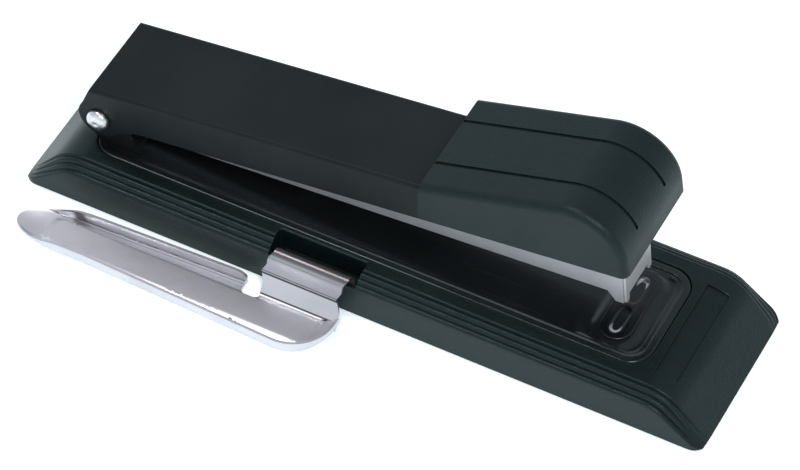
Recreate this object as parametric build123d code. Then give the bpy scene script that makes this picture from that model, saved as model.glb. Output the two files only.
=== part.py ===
from build123d import *
from math import acos, atan2, cos, pi, radians, sin, sqrt, tan
import os

# Desk stapler with a clip-on staple remover. Millimetres.
# Origin: centre of the footprint on the underside. +X points to the stapling end,
# +Y away from the staple remover and +Z up.

# ---- driving dimensions: base ----
BASE_LENGTH = 201.2
BASE_WIDTH = 51.0
DECK_Z = 14.0                 # top of the moulded base
END_CENTRE = (82.7, 1.0)      # centre of the arcs that turn the deck down at each end
CORNER_RADIUS = 4.0           # corners of the footprint
RIM_Z = 0.4                   # the moulding stops this far above the table
SHOULDER = ((25.5, 10.8), (24.4, 12.0), (23.1, 13.1), (21.7, DECK_Z))   # half width, top
CAVITY = ((23.2, 8.6), (20.8, 10.6))                                    # half width, top
END_WALL = 3.6                # the moulding is this thick at the foot of each end
CAVITY_END = BASE_LENGTH / 2 - END_WALL

PAD_THICKNESS = 1.4
PAD_INSET = 1.3
PAD_END_INSET = 2.5
PAD_CORNER = 3.2

PLATE_X = (-84.0, 79.5)
PLATE_HALF_WIDTH = 17.3
PLATE_CORNER = 7.0
PLATE_TOP = 13.4
PLATE_THICKNESS = 1.2
PLATE_GAP = 0.15

SCREW_X = (-40.0, 42.0)       # screws come up from below and stop inside the plate
SCREW_Y = (-10.0, 10.0)
SCREW_RADIUS = 1.5
SCREW_TIP = 12.9
SCREW_HEAD = (2.8, 7.2, 9.0)  # radius, bottom, top
SCREW_SLOT = (4.4, 0.8, 0.8)  # length, width, depth of the cross
SCREW_BOSS = (4.0, 9.0, 11.0)

BRACKET_RIVET_X = -76.0
BRACKET_RIVET_Y = (-6.0, 6.0)
BRACKET_RIVET_RADIUS = 1.6
BRACKET_RIVET_HEAD = (2.7, 0.8)   # radius, height

PANEL_X = (82.3, 88.6)        # blank name panel, sunk into the front of the deck
PANEL_HALF_WIDTH = 16.0
PANEL_DEPTH = 0.4

# ---- driving dimensions: pivot, magazine and handle ----
PIVOT_X = -82.0
PIVOT_Z = 23.0
PIN_RADIUS = 2.5
PIN_CLEARANCE = 0.05
MAGAZINE_TILT = 4.9           # degrees, at rest
HANDLE_TILT = 7.6             # degrees, at rest
DRIVE_TILT = -1.2             # handle against magazine when the staple is home

EAR_HALF_WIDTH = 12.8
EAR_THICKNESS = 1.2
EAR_RADIUS = 5.5
BRACKET_FLOOR = 1.0

HEAD_RADIUS = 3.3
HEAD_DOME = 3.68              # radius of the ball the rivet heads are cut from
HEAD_SINK = 1.6
SPACER_RADIUS = 4.2
SIDE_GAP = 0.3                # between parts that turn against each other

CHANNEL_HALF_WIDTH = 7.5
CHANNEL_WALL = 0.8
CHANNEL_BOTTOM = -8.9
CHANNEL_TOP = 1.6
CHANNEL_START = 12.0
NOSE_FRONT = 151.3
NOSE_TOP = 4.6                # the walls rise at the nose to guide the blade
NOSE_PLATE = 0.8
LEG_START = 147.6
LEG_BOTTOM = -12.0

RAIL_HALF_WIDTH = 5.75
RAIL_TOP = -3.2
RAIL_X = (16.0, 147.4)
RAIL_WALL = 0.8
RAIL_FEET = ((24.0, 34.0), (118.0, 128.0))
RAIL_RIVET_RADIUS = 1.5
RAIL_RIVET_HEAD = (2.3, 0.7)

STAPLE_WIRE = 0.5
STAPLE_HALF_WIDTH = 6.35
STAPLE_TOP = -2.0
STRIP_X = (87.6, 147.5)
GLUE_LINES = 11
GLUE_PITCH = 5.0
GLUE_WIDTH = 0.2
GLUE_DEPTH = 0.05

ROD_RADIUS = 0.8
ROD_W = -0.7
ROD_X = (9.6, 140.0)
ANCHOR_X = (10.0, 11.2)

PUSHER_X = (75.3, 87.3)
PUSHER_HALF_WIDTH = 6.3
PUSHER_BORE = 0.9
PUSHER_ROUND = 0.8

COIL_RADIUS = 1.85
COIL_WIRE = 0.25
COIL_TURNS = 24

COVER_HALF_WIDTH = 14.1
COVER_WALL = 1.0
COVER_TOP = 10.3
COVER_X = (-1.2, 146.0)
COVER_LOWER = -1.9
COVER_ROUND = 1.3
LOBE_RADIUS = 6.3

CAP_HALF_WIDTH = 17.5
CAP_WALL = 2.2
CAP_REAR = 99.5
CAP_REAR_TOP = 14.3
CAP_NOSE = 157.3
CAP_NOSE_RADIUS = 15.0
CAP_SLOPE = 10.3              # degrees, top of the cap against the handle cover
CAP_BOTTOM = 2.4
CAP_RAKE = 1.5                # the rear face leans by this much
CAP_ROUND = 2.2
CAP_REAR_WALL = 2.4
CAP_RIBS = (118.0, 143.0)
CAP_RIB_WIDTH = 1.8
GROOVE_Y = 8.0
GROOVE_WIDTH = 1.0
GROOVE_DEPTH = 0.5

BLADE_THICKNESS = 0.7
BLADE_HALF_WIDTH = 6.3
BLADE_U = 149.2               # place of the blade along the magazine when it is home
BLADE_TIP = -11.5
BLADE_REAR = 130.0
DRIVER_RIVET_U = 136.0
DRIVER_RIVET_RADIUS = 1.5
DRIVER_RIVET_HEAD = (2.6, 0.8)

HANDLE_LEAF_HALF_WIDTH = 8.6
HANDLE_LEAF_BENDS = (18.0, 30.0, 58.0, 64.0)
LIFT_LEAF_HALF_WIDTH = 4.0
LIFT_LEAF_BENDS = (-66.0, -56.0, -34.0, -28.0)
LIFT_LEAF_TOP = 17.6
LEAF_SHEET = 0.5
LEAF_RIVET_X = -62.0
LEAF_RIVET_RADIUS = 1.3
LEAF_RIVET_HEAD = (2.2, 0.3)

# ---- driving dimensions: anvil and staple remover ----
ANVIL_X = 67.4
ANVIL_SIZE = (9.0, 24.0)
PLATEAU_SIZE = (15.0, 32.0)
PLATEAU_TOP = 13.9
ANVIL_TOP = 14.35
ANVIL_STEM = (2.5, 10.6)      # radius, bottom
ANVIL_UPSET = (3.6, 9.8)
POCKET_CENTRE = 4.4
POCKET_RADIUS = 4.7
POCKET_WIDTH = 2.2

NOTCH_X = (-25.0, 0.8)
NOTCH_Y = (-24.2, -18.6)
NOTCH_FLOOR = 7.0
LIP_TOP = 10.6
NOTCH_FRAME = 1.2             # wall left around the notch
NOTCH_FRAME_Z = (5.8, 11.0)

SHEET = 0.8                   # sheet of the remover
HOOK_FACE_Y = -26.65          # outer face of the hook's upright wall
HOOK_RADIUS = 2.0
HOOK_TOP = 12.8
HOOK_LOW = 8.6
TRAY_FLOOR_Z = 0.3
TRAY_DEPTH = 3.6

parts = {}


def box(x0, x1, y0, y1, z0, z1):
    """Axis-aligned box from its limits."""
    centre = Pos((x0 + x1) / 2, (y0 + y1) / 2, (z0 + z1) / 2)
    return centre * Box(x1 - x0, y1 - y0, z1 - z0)


def prism_y(face_lines, y0, y1):
    """Closed outline in the X-Z plane, drawn out from y0 to y1."""
    face = Plane.XZ.offset(-y1) * make_face(face_lines)
    return extrude(face, y1 - y0)


def polygon_y(points, y0, y1):
    return prism_y(Polyline(*points, close=True), y0, y1)


def prism_x(face, x0, x1):
    """Face in the Y-Z plane, drawn out from x0 to x1."""
    return extrude(Plane.YZ.offset(x0) * face, x1 - x0)


def cyl_y(radius, y0, y1, x=0.0, z=0.0):
    return Pos(x, (y0 + y1) / 2, z) * Rot(90, 0, 0) * Cylinder(radius, y1 - y0)


def cyl_z(radius, z0, z1, x=0.0, y=0.0):
    return Pos(x, y, (z0 + z1) / 2) * Cylinder(radius, z1 - z0)


def cyl_x(radius, x0, x1, y=0.0, z=0.0):
    return Pos((x0 + x1) / 2, y, z) * Rot(0, 90, 0) * Cylinder(radius, x1 - x0)


def swung(shape, degrees_up):
    """From pivot coordinates (u forward, w up) to the object, front raised."""
    return Pos(PIVOT_X, 0, PIVOT_Z) * Rot(0, -degrees_up, 0) * shape


def turned(u, w, degrees_up):
    a = radians(degrees_up)
    return (u * cos(a) - w * sin(a), u * sin(a) + w * cos(a))


# ---------------------------------------------------------------- base shell
def end_profile(top, end_x, bottom):
    """Side view of the base: flat top, an arc at each end, then a slope to the table."""
    cx, cz = END_CENTRE
    radius = top - cz
    reach = sqrt((end_x - cx) ** 2 + cz ** 2)
    turn = atan2(-cz, end_x - cx) + acos(radius / reach)
    touch = (cx + radius * cos(turn), cz + radius * sin(turn))
    half = (turn + pi / 2) / 2
    crown = (cx + radius * cos(half), cz + radius * sin(half))
    share = (bottom - touch[1]) / (0.0 - touch[1])
    foot = (touch[0] + share * (end_x - touch[0]), bottom)
    lines = Line((-foot[0], bottom), (-touch[0], touch[1]))
    lines += ThreePointArc((-touch[0], touch[1]), (-crown[0], crown[1]), (-cx, top))
    lines += Line((-cx, top), (cx, top))
    lines += ThreePointArc((cx, top), crown, touch)
    lines += Line(touch, foot)
    lines += Line(foot, (-foot[0], bottom))
    return lines


def stepped(layers, end_x, bottom):
    body = None
    for half_width, top in layers:
        layer = prism_y(end_profile(top, end_x, bottom), -half_width, half_width)
        body = layer if body is None else body + layer
    return body


def plan_block(length, width, radius, z0, z1, x=0.0, y=0.0):
    face = Plane.XY.offset(z0) * Pos(x, y) * RectangleRounded(length, width, radius)
    return extrude(face, z1 - z0)


PLATE_LENGTH = PLATE_X[1] - PLATE_X[0]
PLATE_MID = (PLATE_X[0] + PLATE_X[1]) / 2
PLATE_BOTTOM = PLATE_TOP - PLATE_THICKNESS
SCREWS = [(x, y) for x in SCREW_X for y in SCREW_Y]
BRACKET_RIVETS = [(BRACKET_RIVET_X, y) for y in BRACKET_RIVET_Y]
ABOVE_DECK = DECK_Z + 1.0

shell = stepped(SHOULDER, BASE_LENGTH / 2, RIM_Z)
shell &= plan_block(BASE_LENGTH, BASE_WIDTH, CORNER_RADIUS, 0, ABOVE_DECK)
shell -= stepped(CAVITY, CAVITY_END, 0.0)
shell += box(NOTCH_X[0] - NOTCH_FRAME, NOTCH_X[1] + NOTCH_FRAME,
             NOTCH_Y[0] - NOTCH_FRAME / 2, NOTCH_Y[1] + NOTCH_FRAME, *NOTCH_FRAME_Z)
for screw_x, screw_y in SCREWS:
    shell += cyl_z(*SCREW_BOSS, screw_x, screw_y)
shell -= box(*NOTCH_X, *NOTCH_Y, NOTCH_FLOOR, ABOVE_DECK)
shell -= box(*NOTCH_X, -BASE_WIDTH / 2 - 1, NOTCH_Y[0], LIP_TOP, ABOVE_DECK)
shell -= plan_block(PLATE_LENGTH + 2 * PLATE_GAP, 2 * (PLATE_HALF_WIDTH + PLATE_GAP),
                    PLATE_CORNER + PLATE_GAP, PLATE_BOTTOM, ABOVE_DECK, PLATE_MID)
panel_cut = box(*PANEL_X, -PANEL_HALF_WIDTH, PANEL_HALF_WIDTH, 10.0, ABOVE_DECK)
panel_bed = end_profile(DECK_Z - PANEL_DEPTH, BASE_LENGTH / 2 - 1.0, 0.0)
shell -= panel_cut - prism_y(panel_bed, -BASE_WIDTH / 2, BASE_WIDTH / 2)
pad_plan = (BASE_LENGTH - 2 * PAD_END_INSET, BASE_WIDTH - 2 * PAD_INSET, PAD_CORNER)
shell -= plan_block(*pad_plan, -1.0, PAD_THICKNESS)
for screw_x, screw_y in SCREWS:
    shell -= cyl_z(SCREW_RADIUS, PAD_THICKNESS, ABOVE_DECK, screw_x, screw_y)
for rivet_x, rivet_y in BRACKET_RIVETS:
    shell -= cyl_z(BRACKET_RIVET_RADIUS, PAD_THICKNESS, ABOVE_DECK, rivet_x, rivet_y)
shell -= cyl_z(ANVIL_STEM[0], PAD_THICKNESS, ABOVE_DECK, ANVIL_X)
parts["base_shell"] = shell

parts["foot_pad"] = plan_block(*pad_plan, 0.0, PAD_THICKNESS)


# ---------------------------------------------------------------- plate, anvil, bracket
def slot_block(size, z0, z1, x=0.0):
    """Flat piece with round ends, its length along Y."""
    face = Plane.XY.offset(z0) * Pos(x, 0) * Rot(0, 0, 90) * SlotOverall(size[1], size[0])
    return extrude(face, z1 - z0)


plate = plan_block(PLATE_LENGTH, 2 * PLATE_HALF_WIDTH, PLATE_CORNER,
                   PLATE_BOTTOM, PLATE_TOP, PLATE_MID)
plate += slot_block(PLATEAU_SIZE, PLATE_BOTTOM, PLATEAU_TOP, ANVIL_X)
for screw_x, screw_y in SCREWS:
    plate -= cyl_z(SCREW_RADIUS, PLATE_BOTTOM, SCREW_TIP, screw_x, screw_y)
for rivet_x, rivet_y in BRACKET_RIVETS:
    plate -= cyl_z(BRACKET_RIVET_RADIUS, PLATE_BOTTOM, PLATE_TOP, rivet_x, rivet_y)
plate -= cyl_z(ANVIL_STEM[0], PLATE_BOTTOM, PLATEAU_TOP, ANVIL_X)
plate -= cyl_z(LEAF_RIVET_RADIUS, PLATE_BOTTOM, PLATE_TOP, LEAF_RIVET_X)
parts["base_plate"] = plate

anvil = slot_block(ANVIL_SIZE, PLATEAU_TOP, ANVIL_TOP, ANVIL_X)
anvil += cyl_z(*ANVIL_STEM, PLATEAU_TOP, ANVIL_X)
anvil += cyl_z(*ANVIL_UPSET, ANVIL_STEM[1], ANVIL_X)
for side in (-1, 1):
    # each clinch pocket turns one staple leg inwards
    pocket = Rot(0, 90, 0) * Cylinder(POCKET_RADIUS, POCKET_WIDTH)
    anvil -= Pos(ANVIL_X, side * POCKET_CENTRE, ANVIL_TOP + POCKET_CENTRE) * pocket
parts["anvil"] = anvil

BRACKET_TOP = PLATE_TOP + BRACKET_FLOOR
EAR_INNER = EAR_HALF_WIDTH - EAR_THICKNESS
ear = polygon_y([(-83.5, PLATE_TOP), (-71.5, PLATE_TOP), (-76.9, PIVOT_Z + 2.0),
                 (PIVOT_X, PIVOT_Z), (-87.2, PIVOT_Z - 1.8)], -EAR_HALF_WIDTH, EAR_HALF_WIDTH)
ear += cyl_y(EAR_RADIUS, -EAR_HALF_WIDTH, EAR_HALF_WIDTH, PIVOT_X, PIVOT_Z)
bracket = ear - box(-100, -60, -EAR_INNER, EAR_INNER, BRACKET_TOP, 40)
bracket -= cyl_y(PIN_RADIUS, -EAR_HALF_WIDTH, EAR_HALF_WIDTH, PIVOT_X, PIVOT_Z)
for rivet_x, rivet_y in BRACKET_RIVETS:
    bracket -= cyl_z(BRACKET_RIVET_RADIUS, PLATE_TOP, BRACKET_TOP, rivet_x, rivet_y)
parts["pivot_bracket"] = bracket

rivets = []
head_radius, head_height = BRACKET_RIVET_HEAD
rivet_bottom = ANVIL_STEM[1]
for rivet_x, rivet_y in BRACKET_RIVETS:
    rivet = cyl_z(BRACKET_RIVET_RADIUS, rivet_bottom, BRACKET_TOP, rivet_x, rivet_y)
    rivet += cyl_z(head_radius, rivet_bottom - head_height, rivet_bottom, rivet_x, rivet_y)
    rivet += cyl_z(head_radius, BRACKET_TOP, BRACKET_TOP + head_height, rivet_x, rivet_y)
    rivets.append(rivet)
parts["bracket_rivets"] = Compound(rivets)

screws = []
slot_length, slot_width, slot_depth = SCREW_SLOT
for screw_x, screw_y in SCREWS:
    screw = cyl_z(SCREW_RADIUS, SCREW_HEAD[2], SCREW_TIP, screw_x, screw_y)
    screw += cyl_z(*SCREW_HEAD, screw_x, screw_y)
    slot = Box(slot_length, slot_width, 2 * slot_depth) + Box(slot_width, slot_length, 2 * slot_depth)
    screw -= Pos(screw_x, screw_y, SCREW_HEAD[1]) * slot
    screws.append(screw)
parts["plate_screws"] = Compound(screws)

# leaf spring that lifts the magazine off the anvil
heel, bend, knee, toe = LIFT_LEAF_BENDS
foot_top = PLATE_TOP + LEAF_SHEET
leaf_outline = [(heel, PLATE_TOP), (bend, PLATE_TOP), (knee, LIFT_LEAF_TOP - 0.1), (toe, LIFT_LEAF_TOP),
                (toe, LIFT_LEAF_TOP + LEAF_SHEET), (knee - 0.2, LIFT_LEAF_TOP + LEAF_SHEET - 0.1),
                (bend - 0.2, foot_top), (heel, foot_top)]
leaf = polygon_y(leaf_outline, -LIFT_LEAF_HALF_WIDTH, LIFT_LEAF_HALF_WIDTH)
leaf -= cyl_z(LEAF_RIVET_RADIUS, PLATE_TOP, foot_top, LEAF_RIVET_X)
parts["lift_spring"] = leaf
head_radius, head_height = LEAF_RIVET_HEAD
leaf_rivet = cyl_z(LEAF_RIVET_RADIUS, PLATE_BOTTOM, foot_top, LEAF_RIVET_X)
leaf_rivet += cyl_z(head_radius, foot_top, foot_top + head_height, LEAF_RIVET_X)
parts["lift_spring_rivet"] = leaf_rivet

# ---------------------------------------------------------------- pivot
HEAD_SEAT = COVER_HALF_WIDTH + SIDE_GAP
pin = cyl_y(PIN_RADIUS, -HEAD_SEAT, HEAD_SEAT)
for side in (-1, 1):
    dome = Pos(0, side * (HEAD_SEAT - HEAD_SINK), 0) * Sphere(HEAD_DOME)
    keep = cyl_y(HEAD_RADIUS, *sorted((side * HEAD_SEAT, side * (HEAD_SEAT + HEAD_DOME))))
    pin += dome & keep
parts["pivot_rivet"] = Pos(PIVOT_X, 0, PIVOT_Z) * pin

spacers = []
for side in (-1, 1):
    limits = sorted((side * (CHANNEL_HALF_WIDTH + SIDE_GAP), side * EAR_INNER))
    spacers.append(cyl_y(SPACER_RADIUS, *limits) - cyl_y(PIN_RADIUS, *limits))
parts["pivot_spacers"] = Pos(PIVOT_X, 0, PIVOT_Z) * Compound(spacers)

# ---------------------------------------------------------------- magazine
INNER = CHANNEL_HALF_WIDTH - CHANNEL_WALL
FLOOR_TOP = CHANNEL_BOTTOM + CHANNEL_WALL
LEG_END = NOSE_FRONT - NOSE_PLATE
side_view = [(-1.0, 4.9), (3.0, 4.3), (9.0, CHANNEL_TOP), (136.0, CHANNEL_TOP),
             (140.0, NOSE_TOP), (LEG_END, NOSE_TOP), (LEG_END, LEG_BOTTOM), (LEG_START + 0.6, LEG_BOTTOM),
             (LEG_START - 1.6, CHANNEL_BOTTOM), (CHANNEL_START, CHANNEL_BOTTOM),
             (6.0, -5.0), (-1.0, -4.9)]
channel = polygon_y(side_view, -CHANNEL_HALF_WIDTH, CHANNEL_HALF_WIDTH)
channel += cyl_y(5.0, -CHANNEL_HALF_WIDTH, CHANNEL_HALF_WIDTH)
channel -= box(CHANNEL_START - 0.5, LEG_START, -INNER, INNER, FLOOR_TOP, 20)
channel -= box(-10, CHANNEL_START, -INNER, INNER, -20, 20)
channel -= box(LEG_START - 0.2, 160, -INNER, INNER, -20, 20)
channel -= cyl_y(PIN_RADIUS + PIN_CLEARANCE, -20, 20)
for u0, u1 in RAIL_FEET:
    channel -= cyl_z(RAIL_RIVET_RADIUS, CHANNEL_BOTTOM, FLOOR_TOP, (u0 + u1) / 2)
parts["magazine_channel"] = swung(channel, MAGAZINE_TILT)

nose = box(LEG_END, NOSE_FRONT, -CHANNEL_HALF_WIDTH, CHANNEL_HALF_WIDTH, LEG_BOTTOM, NOSE_TOP)
nose -= box(LEG_END - 1, NOSE_FRONT + 1, -5.4, 5.4, LEG_BOTTOM - 1, -9.6)
nose = fillet(nose.edges().filter_by(Axis.X).group_by(Axis.Z)[0], 1.0)
parts["nose_plate"] = swung(nose, MAGAZINE_TILT)

rail = box(*RAIL_X, -RAIL_HALF_WIDTH, RAIL_HALF_WIDTH, FLOOR_TOP, RAIL_TOP)
rail_inner = RAIL_HALF_WIDTH - RAIL_WALL
rail_core = box(RAIL_X[0] - 1, RAIL_X[1] + 1, -rail_inner, rail_inner,
                FLOOR_TOP - 1, RAIL_TOP - RAIL_WALL)
foot_top = FLOOR_TOP + RAIL_WALL
for u0, u1 in RAIL_FEET:
    rail_core -= box(u0, u1, -10, 10, -20, foot_top)
rail -= rail_core
rail_rivets = []
head_radius, head_height = RAIL_RIVET_HEAD
for u0, u1 in RAIL_FEET:
    rivet_u = (u0 + u1) / 2
    rail -= cyl_z(RAIL_RIVET_RADIUS, FLOOR_TOP, foot_top, rivet_u)
    rail_rivet = cyl_z(RAIL_RIVET_RADIUS, CHANNEL_BOTTOM, foot_top, rivet_u)
    rail_rivet += cyl_z(head_radius, foot_top, foot_top + head_height, rivet_u)
    rail_rivets.append(rail_rivet)
parts["staple_rail"] = swung(rail, MAGAZINE_TILT)
parts["rail_rivets"] = swung(Compound(rail_rivets), MAGAZINE_TILT)

strip = box(*STRIP_X, -STAPLE_HALF_WIDTH, STAPLE_HALF_WIDTH, FLOOR_TOP + 0.1, STAPLE_TOP)
strip -= box(STRIP_X[0] - 1, STRIP_X[1] + 1, -STAPLE_HALF_WIDTH + STAPLE_WIRE,
             STAPLE_HALF_WIDTH - STAPLE_WIRE, -20, STAPLE_TOP - STAPLE_WIRE)
for index in range(GLUE_LINES):
    groove_x = STRIP_X[0] + (index + 1) * GLUE_PITCH
    strip -= box(groove_x, groove_x + GLUE_WIDTH, -7, 7, STAPLE_TOP - GLUE_DEPTH, STAPLE_TOP + 1)
parts["staple_strip"] = swung(strip, MAGAZINE_TILT)

rod = cyl_x(ROD_RADIUS, *ROD_X, 0, ROD_W)
parts["spring_rod"] = swung(rod, MAGAZINE_TILT)

anchor = box(*ANCHOR_X, -INNER, INNER, -4.5, CHANNEL_TOP - 0.2)
anchor -= cyl_x(ROD_RADIUS, 0, 20, 0, ROD_W)
parts["rod_anchor"] = swung(anchor, MAGAZINE_TILT)

pusher = box(*PUSHER_X, -PUSHER_HALF_WIDTH, PUSHER_HALF_WIDTH, RAIL_TOP + 0.3, CHANNEL_TOP)
pusher -= cyl_x(PUSHER_BORE, PUSHER_X[0] - 1, PUSHER_X[1] + 1, 0, ROD_W)
pusher = fillet(pusher.edges().filter_by(Axis.X).group_by(Axis.Z)[-1], PUSHER_ROUND)
parts["pusher"] = swung(pusher, MAGAZINE_TILT)

COIL_X = (ANCHOR_X[1] + 0.1, PUSHER_X[0] - 0.4)
coil_pitch = (COIL_X[1] - COIL_X[0] - 2 * COIL_WIRE) / COIL_TURNS
coil_path = Helix(coil_pitch, coil_pitch * COIL_TURNS, COIL_RADIUS)
coil_section = Plane(origin=coil_path @ 0, z_dir=coil_path % 0) * Circle(COIL_WIRE)
coil = sweep(coil_section, path=coil_path, is_frenet=True)
coil = Pos(COIL_X[0] + COIL_WIRE, 0, ROD_W) * Rot(0, 90, 0) * coil
parts["pusher_spring"] = swung(coil, MAGAZINE_TILT)

# ---------------------------------------------------------------- handle
cover_view = [(COVER_X[0], COVER_TOP), (COVER_X[1], COVER_TOP), (COVER_X[1], -0.7),
              (94.0, COVER_LOWER), (11.0, COVER_LOWER), (4.6, -4.3), (0, 0), (-6.1, 1.5)]
cover = polygon_y(cover_view, -COVER_HALF_WIDTH, COVER_HALF_WIDTH)
top_edges = cover.edges().filter_by(Axis.X).group_by(Axis.Z)[-1]
cover = fillet(top_edges, COVER_ROUND)
cover += cyl_y(LOBE_RADIUS, -COVER_HALF_WIDTH, COVER_HALF_WIDTH)
INNER_HALF = COVER_HALF_WIDTH - COVER_WALL
hollow = box(COVER_X[0] + COVER_WALL, 170, -INNER_HALF, INNER_HALF, -20, COVER_TOP - COVER_WALL)
hollow = fillet(hollow.edges().filter_by(Axis.X).group_by(Axis.Z)[-1], COVER_ROUND - COVER_WALL)
hollow += box(-20, 0, -INNER_HALF, INNER_HALF, -20, LOBE_RADIUS)
cover -= hollow
cover -= cyl_y(PIN_RADIUS + PIN_CLEARANCE, -30, 30)
cover -= cyl_z(DRIVER_RIVET_RADIUS, 5, 15, DRIVER_RIVET_U)
parts["handle_cover"] = swung(cover, HANDLE_TILT)


def cap_profile(inset):
    """Side view of the cap, or of its hollow when inset by the wall."""
    slope = radians(CAP_SLOPE)
    radius = CAP_NOSE_RADIUS - inset
    centre_u = CAP_NOSE - CAP_NOSE_RADIUS
    run = centre_u - CAP_REAR - CAP_NOSE_RADIUS * sin(slope)
    centre_w = CAP_REAR_TOP + run * tan(slope) - CAP_NOSE_RADIUS * cos(slope)
    start = (centre_u - radius * sin(slope), centre_w + radius * cos(slope))
    middle = radians(40.0)
    crown = (centre_u + radius * cos(middle), centre_w + radius * sin(middle))
    rear_u = CAP_REAR + inset
    rear_w = start[1] - (start[0] - rear_u) * tan(slope)
    low = CAP_BOTTOM - inset
    lines = Line((rear_u - CAP_RAKE, low), (rear_u, rear_w))
    lines += Line((rear_u, rear_w), start)
    lines += ThreePointArc(start, crown, (centre_u + radius, centre_w))
    lines += Line((centre_u + radius, centre_w), (centre_u + radius, low))
    lines += Line((centre_u + radius, low), (rear_u - CAP_RAKE, low))
    return lines


cap = prism_y(cap_profile(0.0), -CAP_HALF_WIDTH, CAP_HALF_WIDTH)
side_edges = [e for e in cap.edges() if abs(abs(e.center().Y) - CAP_HALF_WIDTH) < 0.01
              and e.center().Z > CAP_BOTTOM + 4.0 and e.center().X > CAP_REAR]
cap = fillet(side_edges, CAP_ROUND)
CAP_INNER = CAP_HALF_WIDTH - CAP_WALL
cap_hollow = prism_y(cap_profile(CAP_WALL), -CAP_INNER, CAP_INNER)
cap_hollow -= box(90, CAP_REAR + CAP_REAR_WALL, -30, 30, -10, 40)
for rib_u in CAP_RIBS:
    cap_hollow -= box(rib_u - CAP_RIB_WIDTH / 2, rib_u + CAP_RIB_WIDTH / 2, -30, 30, -10, 40)
cap -= cap_hollow
cap -= box(90, COVER_X[1] + 0.2, -COVER_HALF_WIDTH, COVER_HALF_WIDTH, -10, COVER_TOP)
cap -= box(130, CAP_NOSE - CAP_WALL, -9.0, 9.0, -10, COVER_TOP + 1.2)
for side in (-1, 1):
    groove_y = side * GROOVE_Y
    groove = prism_y(cap_profile(-1.0), groove_y - GROOVE_WIDTH / 2, groove_y + GROOVE_WIDTH / 2)
    groove -= prism_y(cap_profile(GROOVE_DEPTH), groove_y - GROOVE_WIDTH, groove_y + GROOVE_WIDTH)
    groove &= box(80, CAP_NOSE - 0.8, -12, 12, CAP_BOTTOM + 6.5, 40)
    cap -= groove
parts["handle_cap"] = swung(cap, HANDLE_TILT)

# driver blade: square to the magazine when the staple is home
blade_low = turned(BLADE_U, BLADE_TIP, -DRIVE_TILT)
blade_high = turned(BLADE_U, COVER_TOP - 6.0, -DRIVE_TILT)
lean = (blade_high[0] - blade_low[0]) / (blade_high[1] - blade_low[1])
under = COVER_TOP - COVER_WALL
bend_u = blade_low[0] + lean * (under - blade_low[1])
half = BLADE_THICKNESS / 2
blade_view = [(blade_low[0] - half, blade_low[1]), (blade_low[0] + half, blade_low[1]),
              (bend_u + half, under), (BLADE_REAR, under), (BLADE_REAR, under - BLADE_THICKNESS),
              (bend_u - half, under - BLADE_THICKNESS)]
blade = polygon_y(blade_view, -BLADE_HALF_WIDTH, BLADE_HALF_WIDTH)
blade -= cyl_z(DRIVER_RIVET_RADIUS, 5, 15, DRIVER_RIVET_U)
parts["driver_blade"] = swung(blade, HANDLE_TILT)

head_radius, head_height = DRIVER_RIVET_HEAD
blade_under = under - BLADE_THICKNESS
driver_rivet = cyl_z(DRIVER_RIVET_RADIUS, blade_under, COVER_TOP, DRIVER_RIVET_U)
driver_rivet += cyl_z(head_radius, COVER_TOP, COVER_TOP + head_height, DRIVER_RIVET_U)
driver_rivet += cyl_z(head_radius, blade_under - head_height, blade_under, DRIVER_RIVET_U)
parts["driver_rivet"] = swung(driver_rivet, HANDLE_TILT)

# return spring: leaf welded inside the cover, its free end on the magazine
heel, bend, knee, toe = HANDLE_LEAF_BENDS
spring_view = [(heel, under), (bend, under), (knee, -0.2), (toe, 0.0), (toe, -LEAF_SHEET),
               (knee - 0.2, -0.2 - LEAF_SHEET), (bend - 0.2, under - LEAF_SHEET),
               (heel, under - LEAF_SHEET)]
handle_leaf = polygon_y(spring_view, -HANDLE_LEAF_HALF_WIDTH, HANDLE_LEAF_HALF_WIDTH)
parts["handle_spring"] = swung(handle_leaf, HANDLE_TILT)

# ---------------------------------------------------------------- staple remover
TIP_X = -94.5
FLANGE_Y = -28.4
FLANGE_END_X = -30.0
WALL_INNER_Y = -30.2
WALL_OUTER_Y = -45.6
BLADE_FLAT_X = -84.0          # the rim is lower beyond this, towards the tip
BLADE_RIM = 2.2
RELIEF_X = (-29.6, -24.2)     # gap between the flange and the hook
RELIEF_DEPTH_Y = -33.4
HOOK_SIDES = ((-24.2, 0.0), (-26.2, 4.0), (-24.6, 9.0), (-22.8, 14.0),
              (-0.6, 14.0), (-2.2, 9.0), (-3.9, 4.0), (-1.6, 0.0))


def tray_outline(grow):
    """Plan of the tray: a blade that narrows to a round tip, and a round front corner."""
    inner = FLANGE_Y + grow
    inner_rear = inner - 1.4
    outer = WALL_OUTER_Y - grow
    outer_rear = outer + 2.1
    lines = Line((-1.0 + grow, inner), (FLANGE_END_X, inner))
    lines += Line((FLANGE_END_X, inner), (-72.0, inner_rear))
    lines += Spline((-72.0, inner_rear), (-84.0, inner_rear - 0.9), (-91.4 - grow, -33.8 + grow),
                    (TIP_X - grow, -38.2), (-91.2 - grow, -41.4 - grow),
                    (-84.0, -43.0 - grow), (-72.0, outer_rear), tangents=((-1, 0), (1, 0)))
    lines += Line((-72.0, outer_rear), (-13.0, outer))
    lines += RadiusArc((-13.0, outer), (-1.0 + grow, outer + 12.0 + grow), -12.0 - grow)
    lines += Line((-1.0 + grow, outer + 12.0 + grow), (-1.0 + grow, inner))
    return lines


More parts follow.
